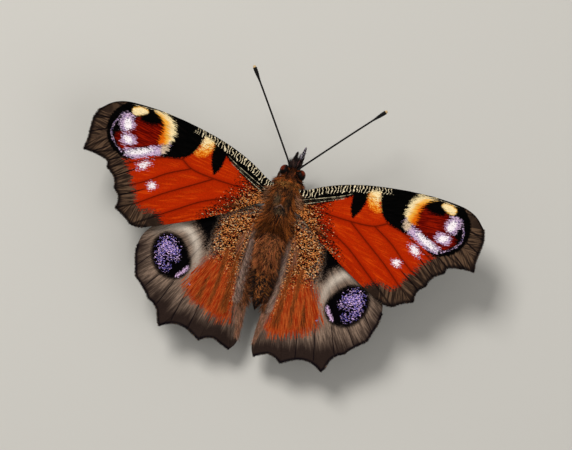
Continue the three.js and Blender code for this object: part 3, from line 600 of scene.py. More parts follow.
forewingColours = {
    "red": srgb(175, 38, 2), "redDeep": srgb(122, 22, 2), "redBright": srgb(208, 68, 8),
    "black": srgb(2, 2, 2), "soot": srgb(12, 8, 7), "cream": srgb(250, 226, 172),
    "butter": srgb(244, 176, 62), "orange": srgb(224, 100, 4), "core": srgb(88, 5, 1),
    "coreBright": srgb(146, 24, 2),
    "line": srgb(70, 12, 3), "lilac": srgb(204, 174, 204), "violet": srgb(136, 116, 174),
    "white": srgb(255, 246, 250), "beige": srgb(214, 188, 160), "brown": srgb(50, 37, 29),
    "tan": srgb(100, 77, 59), "edge": srgb(13, 9, 11), "gold": srgb(204, 126, 64), "rust": srgb(112, 36, 10),
    "pale": srgb(216, 176, 130), "zebra": srgb(244, 226, 188),
}
wingShine = {"roughness": 0.8, "specular": 0.015}


def lineAlong(tree, name, half):  # a thin line where the signed distance passes through zero
    line = ramp(tree, maths(tree, "ABSOLUTE", name + "Side"), half, half * 0.3)
    return times(tree, line, ramp(tree, name, 0.45, 0.3))


def wingSurface(tree, shader, colour, draw, height, grain=0.12):  # scale by scale light and dark, and relief
    level = ramp(tree, draw, 0.0, 1.0, 1.0 - grain, 1.0 + grain)
    raised = timesPlus(tree, streakPattern(tree, 1.6, 0.3), 0.9, times(tree, height, 0.35))
    raised = timesPlus(tree, lineAlong(tree, "vein", 0.16), 2.6, raised)
    raised = timesPlus(tree, lineAlong(tree, "crease", 0.14), -1.5, raised)
    finished(tree, shader, scaled(tree, colour, level), raised, 0.7, 0.00003)


def forewingMaterial():
    c = forewingColours
    material, tree, shader = newMaterial("forewingUpper", **wingShine)
    draw, second, height = scalePattern(tree, "upper")
    fine, broad = streakPattern(tree, 0.14, 2.4), streakPattern(tree, 0.5, 5.0)
    # Red ground, deeper to the root and the rear, brighter in mid wing
    warm = timesPlus(tree, broad, 1.6, "warmth")
    bright = times(tree, times(tree, broad, fine), ramp(tree, "vein", 0.2, 0.9))
    ground = tinged(tree, c["redDeep"], (c["red"], warm, -7.0, 3.5), (c["redBright"], bright, 0.15, 0.8, 0.8),
                    (c["redDeep"], "vein", 0.5, 0.1, 0.35))
    ground = blend(tree, times(tree, lineAlong(tree, "vein", 0.11), 0.7), ground, c["line"])
    # Brown border with pale streaks, dark lines on veins and folds and a near-black edge
    across = streakPattern(tree, 0.2, 3.0, "edgeRay")
    brown = tinged(tree, c["brown"], (c["tan"], across, 0.3, 0.95, 0.9), (c["edge"], across, 0.35, 0.05, 0.3),
                   (c["edge"], "vein", 0.22, 0.08, 0.7), (c["edge"], "crease", 0.16, 0.05, 0.8),
                   (c["edge"], "margin", 0.75, 0.12, 0.9))
    border = maths(tree, "MAXIMUM", frayedBy(tree, fine, 0.9, minus(tree, 2.75, "margin")), "apex")
    colour = marked(tree, ground, draw, (brown, border, 0.7, 0.2))
    nearBorder = times(tree, lineAlong(tree, "crease", 0.12), ramp(tree, "margin", 5.0, 3.2))
    colour = blend(tree, nearBorder, colour, c["edge"])
    # Dark dusting that turns to gold and brown towards the root, and the black parts
    goldness = timesPlus(tree, "dust", 0.09, second)
    dust = tinged(tree, c["soot"], (c["gold"], goldness, 0.93, 0.97), (c["rust"], second, 0.24, 0.21),
                  (c["pale"], second, 0.965, 0.975))
    black = tinged(tree, c["black"], (c["soot"], fine, 0.5, 1.0, 0.5))
    colour = marked(tree, colour, draw, (dust, "dust", 4.4, 0.3), (black, "black", 0.3, 0.08))
    # Zebra lines along the front edge and two thin pale lines behind them
    wobble = noiseAt(tree, "place", 1.1, 1.0)
    turns = timesPlus(tree, wobble, 14.0, times(tree, "edgeAlong", 12.6))
    zebra = timesPlus(tree, maths(tree, "SINE", timesPlus(tree, "edgeIn", 3.0, turns)), 0.5, -0.35)
    inner = minus(tree, timesPlus(tree, wobble, 0.9, 0.7), "edgeIn")
    outer = minus(tree, 15.8, "edgeAlong")
    for field, steep in (("zebra", 1.2), (inner, 1.5), (outer, 0.3)):
        zebra = maths(tree, "MINIMUM", zebra, times(tree, field, steep))
    lines = times(tree, patch(tree, zebra, draw, 0.26, 0.06), ramp(tree, second, 0.0, 0.3, 0.4, 1.0))
    dashes = times(tree, ramp(tree, wobble, 0.4, 0.6, 0.35, 1.0), ramp(tree, draw, 0.2, 0.5))
    rails = times(tree, times(tree, lineAlong(tree, "rail", 0.075), dashes), 0.75)
    for mask in (lines, rails):
        colour = blend(tree, mask, colour, c["zebra"])
    # Cream patch, orange below
    tone = timesPlus(tree, second, 1.5, "warmth")
    cream = tinged(tree, c["butter"], (c["cream"], tone, 9.6, 10.5), (c["orange"], tone, 9.7, 8.8))
    fade = timesPlus(tree, ramp(tree, "warmth", 8.4, 7.4), -0.35, "cream")
    # The eye spot: dark red core, black pupil, cream and orange crescent, cream cap
    core = tinged(tree, c["core"], (c["coreBright"], fine, 0.3, 1.0))
    inward = timesPlus(tree, second, 0.25, timesPlus(tree, fine, 0.5, "core"))
    crescent = tinged(tree, c["cream"], (c["butter"], inward, -1.15, -0.45),
                      (c["orange"], inward, -0.45, 0.2))
    drawn = frayedBy(tree, fine, 0.6, "crescent", 0.45)
    cap = tinged(tree, c["butter"], (c["cream"], timesPlus(tree, fine, 0.4, "cap"), 0.05, 0.4))
    colour = marked(tree, colour, draw, (cream, fade, 0.55, 0.2), (core, "core", 0.5, 0.25),
                    (crescent, drawn, 0.35, 0.2), (cap, "cap", 0.25, 0.1), (c["black"], "pupil", 0.5, 0.3))
    # Lilac patches with white middles, loose violet scales
    lilac = tinged(tree, c["violet"], (c["lilac"], second, 0.0, 0.45))
    lilac = marked(tree, lilac, second, (c["beige"], "beige", 0.5, 0.3))
    lilac = tinged(tree, lilac, (c["white"], timesPlus(tree, second, 0.35, "white"), -0.05, 0.3))
    ragged = patch(tree, frayedBy(tree, fine, 0.5, "lilac"), draw, 0.6, 0.08)
    strewn = times(tree, ragged, ramp(tree, second, 0.06, 0.12, 0.3, 1.0))
    colour = blend(tree, strewn, colour, lilac)
    colour = marked(tree, colour, draw, (lilac, minus(tree, "speck", 0.32), 0.5, 0.06))
    wingSurface(tree, shader, colour, second, height)
    return material


# Marks of the hindwing, as outlines on its upper side
hindwingMarks = {
    "disc": [(15.2, -8.85), (13.5, -9.2), (11.9, -10.8), (10.95, -12.9), (11.6, -14.7), (13.0, -15.5),
             (15.0, -15.3), (16.5, -14.0), (17.2, -12.2), (17.2, -10.5), (16.2, -9.1)],
    "violet": [(15.6, -9.5), (16.5, -10.6), (16.6, -12.3), (15.8, -13.8), (14.5, -14.5), (14.0, -13.9),
               (14.9, -13.4), (14.9, -12.6), (13.9, -12.5), (13.15, -12.5), (13.1, -11.5), (13.9, -10.0)],
    "black": [(12.1, -6.2), (10.9, -7.1), (10.0, -8.2), (9.6, -9.4), (9.1, -9.7), (8.8, -8.0), (8.6, -6.0),
              (8.4, -4.4), (9.8, -3.6), (12.1, -4.9)],
    "red": [(11.1, -15.7), (10.4, -16.9), (9.1, -18.0), (7.6, -18.5), (6.0, -19.4), (4.6, -19.7),
            (2.6, -18.9), (2.6, -17.0), (2.9, -13.0), (3.4, -9.5), (4.9, -8.0), (6.8, -8.8), (8.0, -10.2),
            (9.3, -11.9), (10.5, -14.0)],
    "gold": [(8.9, -7.4), (8.0, -9.6), (6.3, -10.4), (5.0, -11.4), (3.9, -13.5), (2.9, -16.0), (2.2, -12.0),
             (2.2, -6.0), (0.5, -1.5), (3.0, -1.0), (7.0, -2.6), (8.9, -4.4)],
    "inner": [(0, -3), (2.7, -4), (3.4, -7.4), (3.55, -11), (3.3, -14.2), (2.65, -17.2), (1.9, -19.4),
              (0.5, -20.5)],
}
halo = {"path": [(17.6, -9.3), (16.2, -8.1), (14.8, -7.5), (13.0, -7.4), (11.5, -8.5), (10.6, -10.0),
                 (10.2, -11.7), (10.4, -13.4), (11.0, -15.2)],
        "width": 0.72, "along": [0, 2, 4, 7, 10, 14], "strength": [0.15, 0.45, 1.0, 1.0, 0.6, 0.2]}
hindwingColours = {
    "grey": srgb(106, 88, 76), "beige": srgb(144, 121, 104), "dark": srgb(44, 33, 29),
    "edge": srgb(15, 10, 15), "cream": srgb(222, 208, 192), "black": srgb(4, 3, 4),
    "violet": srgb(112, 100, 190),
    "lilac": srgb(222, 186, 226), "red": srgb(150, 38, 8), "orange": srgb(184, 90, 38),
    "gold": srgb(214, 138, 74), "rust": srgb(128, 56, 24), "pinkGrey": srgb(150, 118, 100),
    "brown": srgb(58, 40, 30), "soot": srgb(17, 10, 8), "pale": srgb(238, 202, 152),
    "glint": srgb(120, 140, 200),
}


def hindwingFields(flat, facts):
    by = {key: insideBy(flat, outline) for key, outline in hindwingMarks.items()}
    x, y = flat.T
    sparse = (x - 12.9) * 0.35 - 0.25 * (y + 12)
    away, along, _ = nearest(flat, curveThrough(halo["path"], 60))
    return {**by, "violet": np.minimum(by["violet"] * 0.5 - 0.36, sparse),
            "bar": 0.19 - nearest(flat, np.array([(12.45, -14.95), (11.25, -13.25)]))[0],
            "halo": near(away, 0, halo["width"]) * np.interp(along, halo["along"], halo["strength"]),
            "band": 2.3 - 1.5 * smooth((x - 12.5) / 4.0) - facts["margin"],
            "glint": -0.08 - np.hypot(x - 10.3, y + 15.7)}


def hindwingMaterial():
    c = hindwingColours
    material, tree, shader = newMaterial("hindwingUpper", **wingShine)
    draw, second, height = scalePattern(tree, "upper")
    fine, broad = streakPattern(tree, 0.15, 2.2), streakPattern(tree, 0.6, 5.0)
    # Grey-brown ground, darker to the margin, with dark veins and a near-black edge
    shade = timesPlus(tree, broad, -0.7, timesPlus(tree, fine, -0.3, "band"))
    ground = tinged(tree, c["grey"], (c["beige"], fine, 0.0, 1.0),
                    (c["dark"], times(tree, fine, broad), 0.35, 0.0, 0.22), (c["dark"], shade, -2.6, 0.5),
                    (c["dark"], "vein", 0.3, 0.05, 0.4))
    ground = blend(tree, times(tree, lineAlong(tree, "crease", 0.11), 0.9), ground, c["edge"])
    colour = blend(tree, times(tree, "halo", 0.74), ground, c["cream"])
    # Red field with orange hair streaks towards the body
    hairs = streakPattern(tree, 0.1, 1.8)
    strokes = timesPlus(tree, hairs, 0.7, times(tree, broad, 0.3))
    red = tinged(tree, c["red"], (c["orange"], strokes, 0.4, 0.8), (c["rust"], hairs, 0.35, 0.05, 0.6))
    # Dark and gold dusting near the root; the fold beside the body, pale outside and dark inside
    dust = tinged(tree, c["soot"], (c["gold"], second, 0.52, 0.54), (c["rust"], second, 0.72, 0.75),
                  (c["pale"], second, 0.94, 0.96))
    fold = tinged(tree, blend(tree, fine, c["brown"], c["pinkGrey"]), (c["dark"], "inner", 0.5, 1.3, 0.75))
    colour = marked(tree, colour, draw, (red, frayedBy(tree, fine, 1.5, "red"), 0.6, 0.3),
                    (c["glint"], "glint", 1.0, 0.06), (dust, "gold", 3.2, 0.2), (fold, "inner", 0.6, 0.3))
    colour = tinged(tree, colour, (c["edge"], "margin", 0.5, 0.1))
    # Black patch and the eye spot
    violet = tinged(tree, c["violet"], (c["lilac"], second, 0.3, 0.9))
    colour = marked(tree, colour, draw, (c["black"], "black", 0.9, 0.6))
    colour = tinged(tree, colour, (c["black"], "disc", -0.5, 0.1, 0.8))
    colour = marked(tree, colour, draw, (c["black"], "disc", 0.5, 0.25), (violet, "violet", 1.3, 0.05),
                    (c["lilac"], "bar", 0.45, 0.05))
    wingSurface(tree, shader, colour, second, height)
    return material


def undersideMaterial():  # bark-like: near black with fine wavy lines across the wing
    material, tree, shader = newMaterial("wingUnderside", 0.8, 0.06)
    _, second, height = scalePattern(tree, "under")
    turns = timesPlus(tree, "reach", 13.0, times(tree, noiseAt(tree, "place", 0.55, 3.0), 30.0))
    lines = timesPlus(tree, maths(tree, "SINE", turns), 0.5, 0.5)
    band = times(tree, ramp(tree, noiseAt(tree, "place", 0.16), 0.5, 0.62), lines)
    dark, mid, pale = srgb(16, 12, 12), srgb(48, 36, 30), srgb(92, 74, 60)
    colour = tinged(tree, blend(tree, lines, dark, mid), (pale, band, 0.3, 1.0, 0.8),
                    (mid, "margin", 3.2, 1.8, 0.5), (dark, "margin", 0.5, 0.1))
    wingSurface(tree, shader, colour, second, height)
    return material


wingUnderside = undersideMaterial()
wingLooks = {"forewing": (forewing, forewingFields, forewingMaterial(), "forewing_scales"),
             "hindwing": (hindwing, hindwingFields, hindwingMaterial(), "hindwing_scales")}
for wingName, (wing, marks, look, slot) in wingLooks.items():
    flat = coonsPatch(wing)
    facts = wingFacts(wing, flat)
    fields = marks(flat, facts)
    for side in sides:
        obj = wingMesh(wing, side, f"{wingName}Scales", flat, facts, fields)
        addPiece(obj, slot, [look, wingUnderside], f"{wingName}_{side}")
    tell(f"{wingName}s made")

# Closed tubes and ovals, each a set of corners, faces and chart places
def loft(rings, ends):  # rings of corners around a path, closed by a pole at each end
    rows, columns = rings.shape[:2]
    k = np.arange(columns)
    step, last = (k + 1) % columns, (rows - 1) * columns
    pole = np.full(columns, rows * columns)
    triangles = np.vstack([np.stack([step, k, pole], 1), np.stack([last + k, last + step, pole + 1], 1)])
    du, dv = 1 / (rows + 1), 1 / columns

    def chart(u, v, moves):  # chart places of each face, as moves from its first corner
        return np.stack([np.stack([u + i * du, v + j * dv], -1) for i, j in moves], axis=-2)

    u, v = np.meshgrid((np.arange(rows - 1) + 1) / (rows + 1), k / columns, indexing="ij")
    first, final = np.full(columns, du), np.full(columns, 1 - du)
    return {"corners": np.vstack([rings.reshape(-1, 3), ends]), "triangles": triangles,
            "quads": gridQuads(rows, columns, wrap=True),
            "quadChart": chart(u, v, [(0, 0), (0, 1), (1, 1), (1, 0)]).reshape(-1, 4, 2),
            "triangleChart": np.vstack([chart(first, k / columns, [(0, 1), (0, 0), (-1, 0.5)]),
                                        chart(final, k / columns, [(0, 0), (0, 1), (1, 0.5)])])}


def volumeOf(corners, quads, triangles):
    split = np.vstack([quads[:, [0, 1, 2]], quads[:, [0, 2, 3]], triangles])
    a, b, c = (corners[split[:, k]] for k in range(3))
    return (a * np.cross(b, c)).sum() / 6


def addLoft(name, part, slot, material, *nodes, **facts):
    faces = [part[key] for key in ("quads", "triangles", "quadChart", "triangleChart")]
    if volumeOf(part["corners"], *faces[:2]) < 0:
        faces = [entry[:, ::-1] for entry in faces]
    obj = addMesh(name, part["corners"], *faces[:2])
    setChart(obj, inset(np.vstack([places.reshape(-1, 2) for places in faces[2:]])))
    for key, values in facts.items():
        keep(obj, key, values)
    addPiece(obj, slot, [material], *nodes)


def squareTo(along, angle, upright=(0.0, 0.0, 1.0)):  # ways square to a path, at angles from its side
    side = unit(np.cross(along, upright))
    return side * np.cos(angle)[..., None] + np.cross(side, along) * np.sin(angle)[..., None]


def alongPath(path, radii, columns, **ways):  # round sections square to a path
    along = unit(np.gradient(path, axis=0))
    ring = squareTo(along[:, None], np.linspace(0, 2 * math.pi, columns, endpoint=False)[None], **ways)
    ends = np.stack([path[0] - along[0] * radii[0] * 0.5, path[-1] + along[-1] * radii[-1] * 0.5])
    return loft(path[:, None] + ring * radii[:, None, None], ends)


def perRing(values, columns, *ends):  # a value for each ring of a tube, and for its two poles
    return np.append(np.repeat(values, columns), ends)


# Body skin: one lofted surface from the face to the tip of the abdomen
skin = {
    "squareness": 2.25, "rows": 460, "columns": 120,
    "stations": [  # y, middle x, middle z, half width, half height
        (7.03, 0.48, 6.45, 0.02, 0.02), (6.93, 0.47, 6.45, 0.45, 0.45), (6.65, 0.45, 6.45, 0.74, 0.85),
        (6.2, 0.42, 6.55, 0.74, 1.12), (5.6, 0.38, 6.6, 0.76, 1.18), (5.1, 0.34, 6.6, 0.85, 1.08),
        (4.7, 0.29, 6.55, 1.15, 1.15), (4.25, 0.2, 6.5, 1.5, 1.55), (3.6, 0.08, 6.45, 1.75, 1.85),
        (2.6, 0, 6.4, 2.0, 2.05), (1.0, 0, 6.4, 2.05, 2.1), (-1.0, 0, 6.4, 2.0, 2.05),
        (-2.4, 0, 6.3, 1.75, 1.8), (-3.2, 0, 6.2, 1.35, 1.45), (-3.7, 0, 6.15, 1.25, 1.35),
        (-4.4, 0.02, 6.12, 1.55, 1.6), (-5.3, 0.05, 6.12, 1.8, 1.75), (-7.0, 0.1, 6.08, 1.82, 1.78),
        (-9.0, 0.25, 6.0, 1.62, 1.65), (-11.0, 0.42, 5.75, 1.32, 1.32), (-12.8, 0.5, 5.45, 0.98, 0.95),
        (-14.2, 0.5, 5.28, 0.66, 0.64), (-15.4, 0.5, 5.15, 0.34, 0.34), (-15.9, 0.5, 5.08, 0.18, 0.18),
        (-16.0, 0.5, 5.08, 0.02, 0.02)],
}
skinLine = curveThrough(skin["stations"], 800)
skinSteps = np.linspace(0, 1, len(skinLine))


def skinStep(y):  # how far along the skin a place lies, from its y
    return np.interp(-np.asarray(y, float), -skinLine[:, 0], skinSteps)


def onSkin(t, angle):  # rounded sections; the angle turns from the top towards the animal's right
    y, x, z, wide, high = (np.interp(t, skinSteps, column) for column in skinLine.T)
    power = 2 / skin["squareness"]
    s, c = np.sin(angle), np.cos(angle)
    return np.stack([x + wide * np.sign(s) * np.abs(s) ** power, y,
                     z + high * np.sign(c) * np.abs(c) ** power], axis=-1)


def skinWays(t, angle):  # at places on the skin: the ways to the rear, around to the right, and out
    step = 1e-3
    rear = unit(onSkin(np.minimum(t + step, 1), angle) - onSkin(np.maximum(t - step, 0), angle))
    around = unit(onSkin(t, angle + 0.02) - onSkin(t, angle - 0.02))
    out = unit(np.cross(around, rear))
    around = np.cross(rear, out)
    return rear, around, out


bodyColours = {
    "thorax": srgb(77, 44, 19), "rust": srgb(150, 78, 28), "sheen": srgb(112, 92, 68),
    "dark": srgb(22, 13, 8), "edge": srgb(166, 92, 38), "oliveShade": srgb(56, 38, 18),
    "abdomen": srgb(172, 104, 60),
    "speck": srgb(196, 114, 52), "rear": srgb(30, 20, 15), "flank": srgb(146, 92, 60),
    "strand": srgb(220, 132, 76), "head": srgb(108, 54, 22), "collar": srgb(222, 160, 84),
    "tip": srgb(12, 8, 7), "belly": srgb(52, 40, 34), "brow": srgb(66, 52, 50), "tuft": srgb(220, 156, 114),
    "fringe": srgb(150, 117, 99), "pinkGrey": srgb(206, 174, 158), "streak": srgb(172, 80, 26),
}


def layered(tint, *layers):  # each colour is laid over those before it by its share
    for colour, share in layers:
        tint = mixed(tint, bodyColours[colour] if isinstance(colour, str) else colour, share)
    return tint


def bodyTint(places, angle):  # colours by rule: stripes and shades over thorax, head and abdomen
    x, y = places[:, 0], places[:, 1]
    across = np.abs(np.sin(angle))
    top = smooth((np.cos(angle) + 0.2) / 0.6)
    chevron = near(y + 0.08 + 0.85 * np.abs(x), 0.0, 0.13) * smooth((1.15 - np.abs(x)) / 0.3)
    ridge = near(y - 0.1 + 0.85 * np.abs(x), 0.0, 0.08) * smooth((0.9 - np.abs(x)) / 0.3)
    abdomen = layered(bodyColours["abdomen"], ("rear", smooth((-9.8 - y) / 1.6)),
                      ("flank", smooth((across - 0.7) / 0.3)))
    tint = layered(
        bodyColours["thorax"],
        ("edge", smooth((across - 0.55) / 0.4) * smooth((1.2 - y) / 2.5 + 0.3) * 0.6),
        # painted shade: a darker olive patch on the right front of the thorax only
        ("oliveShade", near(x, 1.07, 0.55) * near(y, 0.8, 1.2) * 0.8),
        ("rust", near(x, 0.1, 0.25) * near(y, 1.3, 1.2)),
        ("sheen", near(x, -0.72, 0.42) * near(y, 1.05, 0.9)),
        ("sheen", near(x, 0, 0.6) * near(y, -0.9, 0.45)),
        ("dark", chevron), ("pinkGrey", ridge * 0.5), ("rust", smooth((y - 2.4) / 1.0) * 0.6),
        # painted shade: a dark band across the narrow waist between thorax and abdomen
        ("dark", near(y, -3.7, 0.75) * 0.9), ("collar", near(y, 3.95, 0.22) * 0.9),
        (abdomen, smooth((-4.2 - y) / 1.0)), ("tip", smooth((-14.6 - y) / 0.8)),
        ("head", smooth((y - 4.5) / 0.4)), ("brow", smooth((y - 6.3) / 0.4)))
    return mixed(bodyColours["belly"], tint, top)


def bodyShares(places, angle):  # the shares of dark and of bright tufts
    y = places[:, 1]
    top = smooth((np.cos(angle) + 0.1) / 0.5)
    dark = 0.3 + 0.26 * smooth((y - 4.4) / 0.4) + 0.22 * near(y, -7.0, 2.8)
    bright = 0.15 + 0.1 * smooth((-10.2 - y) / 1.2) - 0.25 * smooth((-14.6 - y) / 0.6)
    bare = near(places[:, 0], 0, 0.9) * near(y, 0.2, 1.4)
    return dark * top * (1 - 0.7 * bare), bright * top * (1 - bare)


# A piece's own tint, mottled by a fine noise between two levels; the strength is that of its bumps
def tintedLook(name, rough, specular, grain, detail, levels, strength=0.0):
    material, tree, shader = newMaterial(name, rough, specular)
    fine = noiseAt(tree, objectPlace(tree), grain, detail)
    colour = scaled(tree, value(tree, "tint", "Color"), ramp(tree, fine, 0.3, 0.7, *levels))
    finished(tree, shader, colour, fine if strength else None, strength, 0.00004)
    return material


bodySkinLook = tintedLook("bodySkin", 0.85, 0.1, 5200.0, 3.0, (0.55, 1.25), 0.6)
coatLook = tintedLook("bodyHair", 0.6, 0.12, 9000.0, 1.0, (0.75, 1.2))
bristleLook = tintedLook("bristles", 0.5, 0.12, 9000.0, 1.0, (0.75, 1.2))
ringAngles = np.linspace(-math.pi, math.pi, skin["columns"], endpoint=False)
t, a = np.meshgrid(np.linspace(0, 1, skin["rows"]), ringAngles, indexing="ij")
skinCorners = onSkin(t, a)
skinPart = loft(skinCorners, np.stack([skinCorners[0].mean(0), skinCorners[-1].mean(0)]))
skinTint = bodyTint(skinPart["corners"], np.append(a.ravel(), [0, 0]))
addLoft("bodySkin", skinPart, "thorax_coat", bodySkinLook, "thorax", "collar", "abdomen", "head",
        tint=opaque(skinTint))
tell("body skin made")


# Tufts: closed three-sided strands, tapered to a point, rooted just under what they grow from, painted darker
# at the root as shade
strand = {"stations": np.array([0.0, 0.35, 0.7]), "widths": np.array([0.9, 1.0, 0.6]), "flat": 0.55,
          "sunk": 0.1, "sway": 0.12, "angles": [math.pi / 2, math.pi * 7 / 6, math.pi * 11 / 6],
          "chartSize": 0.0015, "chartSizes": np.repeat([1.0, 0.75, 0.5, 0.0], [3, 3, 3, 1]),
          "shades": np.repeat([0.55, 0.85, 1.05, 1.2], [3, 3, 3, 1])}


def jittered(rng, rows, columns):  # places on the unit square, one in each cell of a grid
    i, k = np.meshgrid(np.arange(rows), np.arange(columns), indexing="ij")
    place = np.stack([i.ravel() / rows, k.ravel() / columns], axis=1)
    return place + rng.uniform(0.12, 0.88, (rows * columns, 2)) / np.array([rows, columns])


def tufts(rng, roots, outs, lies, chart, length, width, lift, bend, tint):
    # middle line: root + length (lie s + out (lift s - bend s squared)), swayed to one side; s from 0 to 1
    count = len(roots)
    length, width, lift, bend = (np.broadcast_to(value, count)[:, None, None]
                                 for value in (length, width, lift, bend))
    s = np.append(strand["stations"], 1.0)[None, :, None]
    lies = unit(lies)
    side = unit(np.cross(lies, outs))
    bow = rng.normal(0, strand["sway"], (count, 1, 1))
    line = (roots - outs * strand["sunk"])[:, None] + length * (
        lies[:, None] * s + outs[:, None] * (lift * s - bend * s * s) + side[:, None] * bow * s * s)
    wide = width * strand["widths"][None, :, None] / 2
    rings = []
    for angle in strand["angles"]:
        way = side * math.cos(angle) + outs * math.sin(angle) * strand["flat"]
        rings.append(line[:, :3] + way[:, None] * wide)
    corners = np.concatenate([np.stack(rings, axis=2).reshape(count, 9, 3), line[:, 3:4]], axis=1)
    quads, triangles = gridQuads(3, 3, wrap=True), np.array([(2, 1, 0), (6, 7, 9), (7, 8, 9), (8, 6, 9)])
    if volumeOf(corners[0], quads, triangles) < 0:
        quads, triangles = quads[:, ::-1], triangles[:, ::-1]
    start = (np.arange(count) * 10)[:, None, None]
    turn = np.array(strand["angles"] * 3 + [0])
    size = strand["chartSize"] * strand["chartSizes"]
    spot = np.stack([np.cos(turn) * size, np.sin(turn) * size], axis=1)
    # painted shade: each strand is darker at its root, deep in the coat, and lighter at its tip
    tinted = opaque(np.clip(tint[:, None] * strand["shades"][None, :, None], 0, 1))
    return {"corners": corners.reshape(-1, 3), "quads": (quads[None] + start).reshape(-1, 4),
            "triangles": (triangles[None] + start).reshape(-1, 3),
            "chart": (chart[:, None] + spot).reshape(-1, 2), "tint": tinted.reshape(-1, 4)}


def addCoat(name, sets, slot, material):
    starts = np.cumsum([0] + [len(one["corners"]) for one in sets])
    quads = np.vstack([one["quads"] + start for one, start in zip(sets, starts)])
    triangles = np.vstack([one["triangles"] + start for one, start in zip(sets, starts)])
    obj = addMesh(name, np.vstack([one["corners"] for one in sets]), quads, triangles)
    unwrap(obj, np.vstack([one["chart"] for one in sets]))
    keep(obj, "tint", np.vstack([one["tint"] for one in sets]))
    tell(f"{name}: {len(quads) * 2 + len(triangles)} triangles")
    addPiece(obj, slot, [material])


def varied(rng, tint, light=0.3, hue=0.06):  # each tuft's own shade of its colour
    level = np.exp(rng.normal(0, light, (len(tint), 1)))
    shaded = tint * level * np.exp(rng.normal(0, hue, (len(tint), 3)))
    return shaded * np.minimum(1, 0.68 / np.maximum(shaded.max(1, keepdims=True), 0.01))  # never near white


def clumps(rng, cell, rows, columns):  # neighbouring tufts share three random numbers, as hair holds together
    coarse = np.array([max(rows // 6, 1), max(columns // 4, 1)])
    at = np.clip(np.floor(cell * coarse + rng.normal(0, 0.22, cell.shape)), 0, coarse - 1).astype(int)
    return [rng.normal(0, 1, tuple(coarse))[at[:, 0], at[:, 1]] for _ in range(3)]


def strandTint(rng, roots, angle, shade):  # the body's markings with dark and bright tufts among them
    dark, bright = bodyShares(roots, angle)
    pick = rng.uniform(0, 1, len(roots)) + 0.16 * shade
    tint = bodyTint(roots, angle)
    speck = mixed(tint * (2.0, 1.7, 1.6), bodyColours["speck"], smooth((-9.8 - roots[:, 1]) / 1.6) * 0.9)
    tint = np.where((pick > 1 - bright)[:, None], speck, tint)
    tint = np.where((pick < dark)[:, None], tint * 0.3, tint)
    return varied(rng, tint * np.exp(0.36 * shade)[:, None], 0.4)


def bodyChart(t, angle):
    return inset(np.stack([t, angle / (2 * math.pi) + 0.5], axis=1))


def planted(rng, span, rows, columns, turns):  # places on the skin between two y, over a range of angles
    cell = jittered(rng, rows, columns)
    low, high = skinStep(span[0]), skinStep(span[1])
    t = low + (high - low) * cell[:, 0]
    return t, np.radians(turns[0] + (turns[1] - turns[0]) * cell[:, 1]), clumps(rng, cell, rows, columns)


def bodyTufts(rng, span, rows, columns, facts):  # a coat all around the skin between two y
    t, angle, (shade, turn, size) = planted(rng, span, rows, columns, (-180, 180))
    roots = onSkin(t, angle)
    rear, around, out = skinWays(t, angle)
    length, width, spreadBy, swirl, lift, bend = facts(roots, angle, rng)
    fan = spreadBy * np.sign(np.sin(angle)) + swirl * turn + rng.normal(0, 0.14, len(t))
    lies = rear * np.cos(fan)[:, None] + around * np.sin(fan)[:, None]
    return tufts(rng, roots, out, lies, bodyChart(t, angle), length * np.exp(0.14 * size), width, lift, bend,
                 strandTint(rng, roots, angle, shade))


def thoraxHair(roots, angle, rng):
    across = np.abs(np.sin(angle))
    bare = near(roots[:, 0], 0, 0.95) * near(roots[:, 1], 0.1, 1.35) * (np.cos(angle) > 0)
    rearward = smooth((-0.6 - roots[:, 1]) / 2.0)
    length = (0.8 + 0.45 * across + 0.75 * rearward) * (1 - 0.84 * bare) * rng.uniform(0.7, 1.3, len(roots))
    under = smooth(-np.cos(angle) / 0.5)
    length = length * (1 - 0.35 * under)
    width = rng.uniform(0.08, 0.15, len(roots)) * (1 - 0.5 * bare)
    lift = 0.3 + 0.1 * across - 0.12 * under - 0.2 * bare
    return length, width, 0.15 + 0.35 * across, 0.4 * (1 - 0.7 * bare), lift, 0.28 - 0.14 * bare


def abdomenHair(roots, angle, rng):
    across = np.abs(np.sin(angle))
    rearward = smooth((-8.5 - roots[:, 1]) / 3.5)
    flank = smooth((across - 0.55) / 0.35) * smooth((np.cos(angle) + 0.4) / 0.3)
    tip = smooth((-14.0 - roots[:, 1]) / 1.8)
    length = (1.15 - 0.5 * rearward + (0.7 + 0.5 * rearward) * flank) * rng.uniform(0.7, 1.25, len(roots))
    width = rng.uniform(0.08, 0.14, len(roots)) * (1 - 0.35 * tip)
    return (length * (1 - 0.6 * tip), width, 0.1 + 0.8 * across * (1 - 0.7 * tip), 0.32,
            0.34 + 0.22 * flank, 0.26 + 0.1 * flank)


rng = np.random.default_rng(41)
addCoat("thoraxHair", [bodyTufts(rng, (4.85, -3.4), 98, 120, thoraxHair)], "thorax_coat", coatLook)


